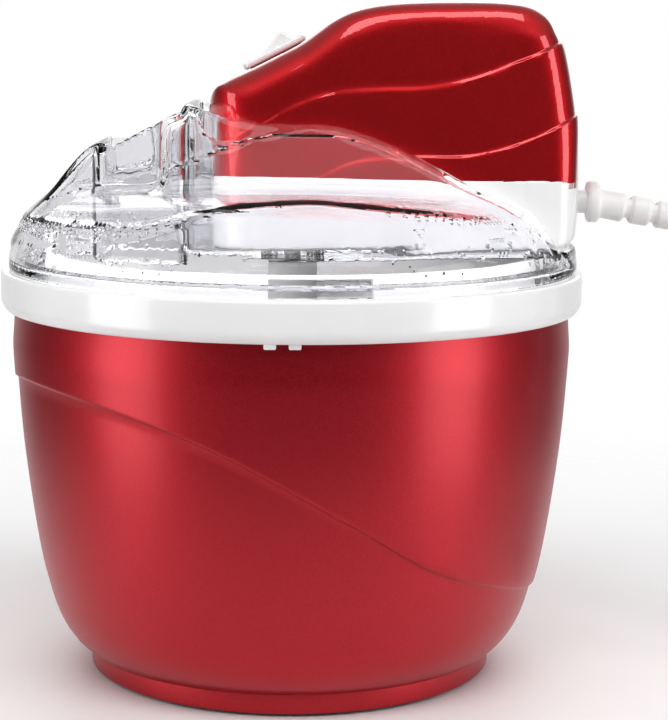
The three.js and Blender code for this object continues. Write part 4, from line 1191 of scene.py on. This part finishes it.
# ---- light and floor ----
WORLD_GLOW = (0.08, 0.8)  # strength all round, and right behind the object
CEILING_GLOW = 0.4
FLOOR_REACH = 0.6
FLOOR_FADE = (0.17, 0.5)  # from here to there the floor turns clear
SOFTBOX_TARGET = (0, 0, 0.12)
SOFTBOXES = [
    ("top_softbox", (0.05, -0.55, 0.9), (0.9, 0.4), 5),
    ("left_softbox", (-0.95, -0.42, 0.2), (0.5, 1.1), 6),
    ("right_softbox", (0.98, -0.46, 0.2), (0.5, 1.1), 6.4),
    ("rear_softbox", (0.1, 0.9, 0.6), (1.2, 0.6), 4),
]


def add_softbox(name, place, size, power):
    data = bpy.data.lights.new(name, "AREA")
    data.shape = "RECTANGLE"
    data.size, data.size_y = size
    data.energy = power
    lamp = bpy.data.objects.new(name, data)
    bpy.context.scene.collection.objects.link(lamp)
    lamp.location = place
    lamp.visible_camera = False
    lamp.rotation_euler = (Vector(SOFTBOX_TARGET) - Vector(place)).to_track_quat("-Z", "Y").to_euler()


def add_world():
    """White to the eye and through clear plastic. As light it is dim but for the rear and the ceiling."""
    world = bpy.data.worlds.new("studio")
    bpy.context.scene.world = world
    world.use_nodes = True
    tree = world.node_tree
    glow = next(node for node in tree.nodes if node.type == "BACKGROUND")
    direction = add_node(tree, "TexCoord").outputs["Generated"]
    parts = add_node(tree, "SeparateXYZ", {"Vector": direction}).outputs
    glow.inputs["Color"].default_value = (1, 1, 1, 1)
    behind = ranged(tree, parts["Y"], *WORLD_GLOW, 0.65, 0.97)
    above = ranged(tree, parts["Z"], 0, CEILING_GLOW, 0.15, 0.7)
    either = add_node(tree, "Math", {0: behind, 1: above}, operation="MAXIMUM").outputs[0]
    tree.links.new(either, glow.inputs["Strength"])
    seen = add_node(tree, "Background", {"Color": (1, 1, 1, 1), "Strength": 1.0})
    path = add_node(tree, "LightPath").outputs
    direct = {0: path["Is Camera Ray"], 1: path["Transmission Depth"]}
    through_clear = add_node(tree, "Math", direct, operation="MAXIMUM").outputs[0]
    mix = add_node(tree, "MixShader", {0: through_clear})
    tree.links.new(glow.outputs[0], mix.inputs[1])
    tree.links.new(seen.outputs[0], mix.inputs[2])
    output = next(node for node in tree.nodes if node.type == "OUTPUT_WORLD")
    tree.links.new(mix.outputs[0], output.inputs["Surface"])


def add_floor():
    """Pale round floor that fades out into the white round it."""
    reach, steps = FLOOR_REACH / MM, 64
    points = [(reach * math.cos(a), reach * math.sin(a), 0) for a in np.arange(steps) * 2 * math.pi / steps]
    floor = add_mesh("floor", points, [list(range(steps))])
    material, tree, shader = new_material("pale_floor")
    place = add_node(tree, "TexCoord").outputs["Object"]
    distance = add_node(tree, "VectorMath", {0: place}, operation="LENGTH").outputs["Value"]
    colour = blended(tree, noise(tree, 8), (0.90, 0.90, 0.90), (0.94, 0.94, 0.94))
    fade = ranged(tree, distance, 1, 0, *FLOOR_FADE)
    feed(tree, shader, {"Base Color": colour, "Alpha": fade, "Roughness": 0.6})
    floor.data.materials.append(material)
    floor.location.z = -0.0003


def add_light():
    add_world()
    for softbox in SOFTBOXES:
        add_softbox(*softbox)


# ---- everything ----
add_outer_bowl()
add_rim_ring()
add_freezer_bowl()
add_paddle()
add_lid()
add_cover()
add_base()
add_switch()
add_strain_relief()
add_plug()
add_tie()
dress_carried_nodes()
add_floor()
add_light()
bpy.context.scene.view_settings.view_transform = "Standard"

bpy.context.view_layer.update()
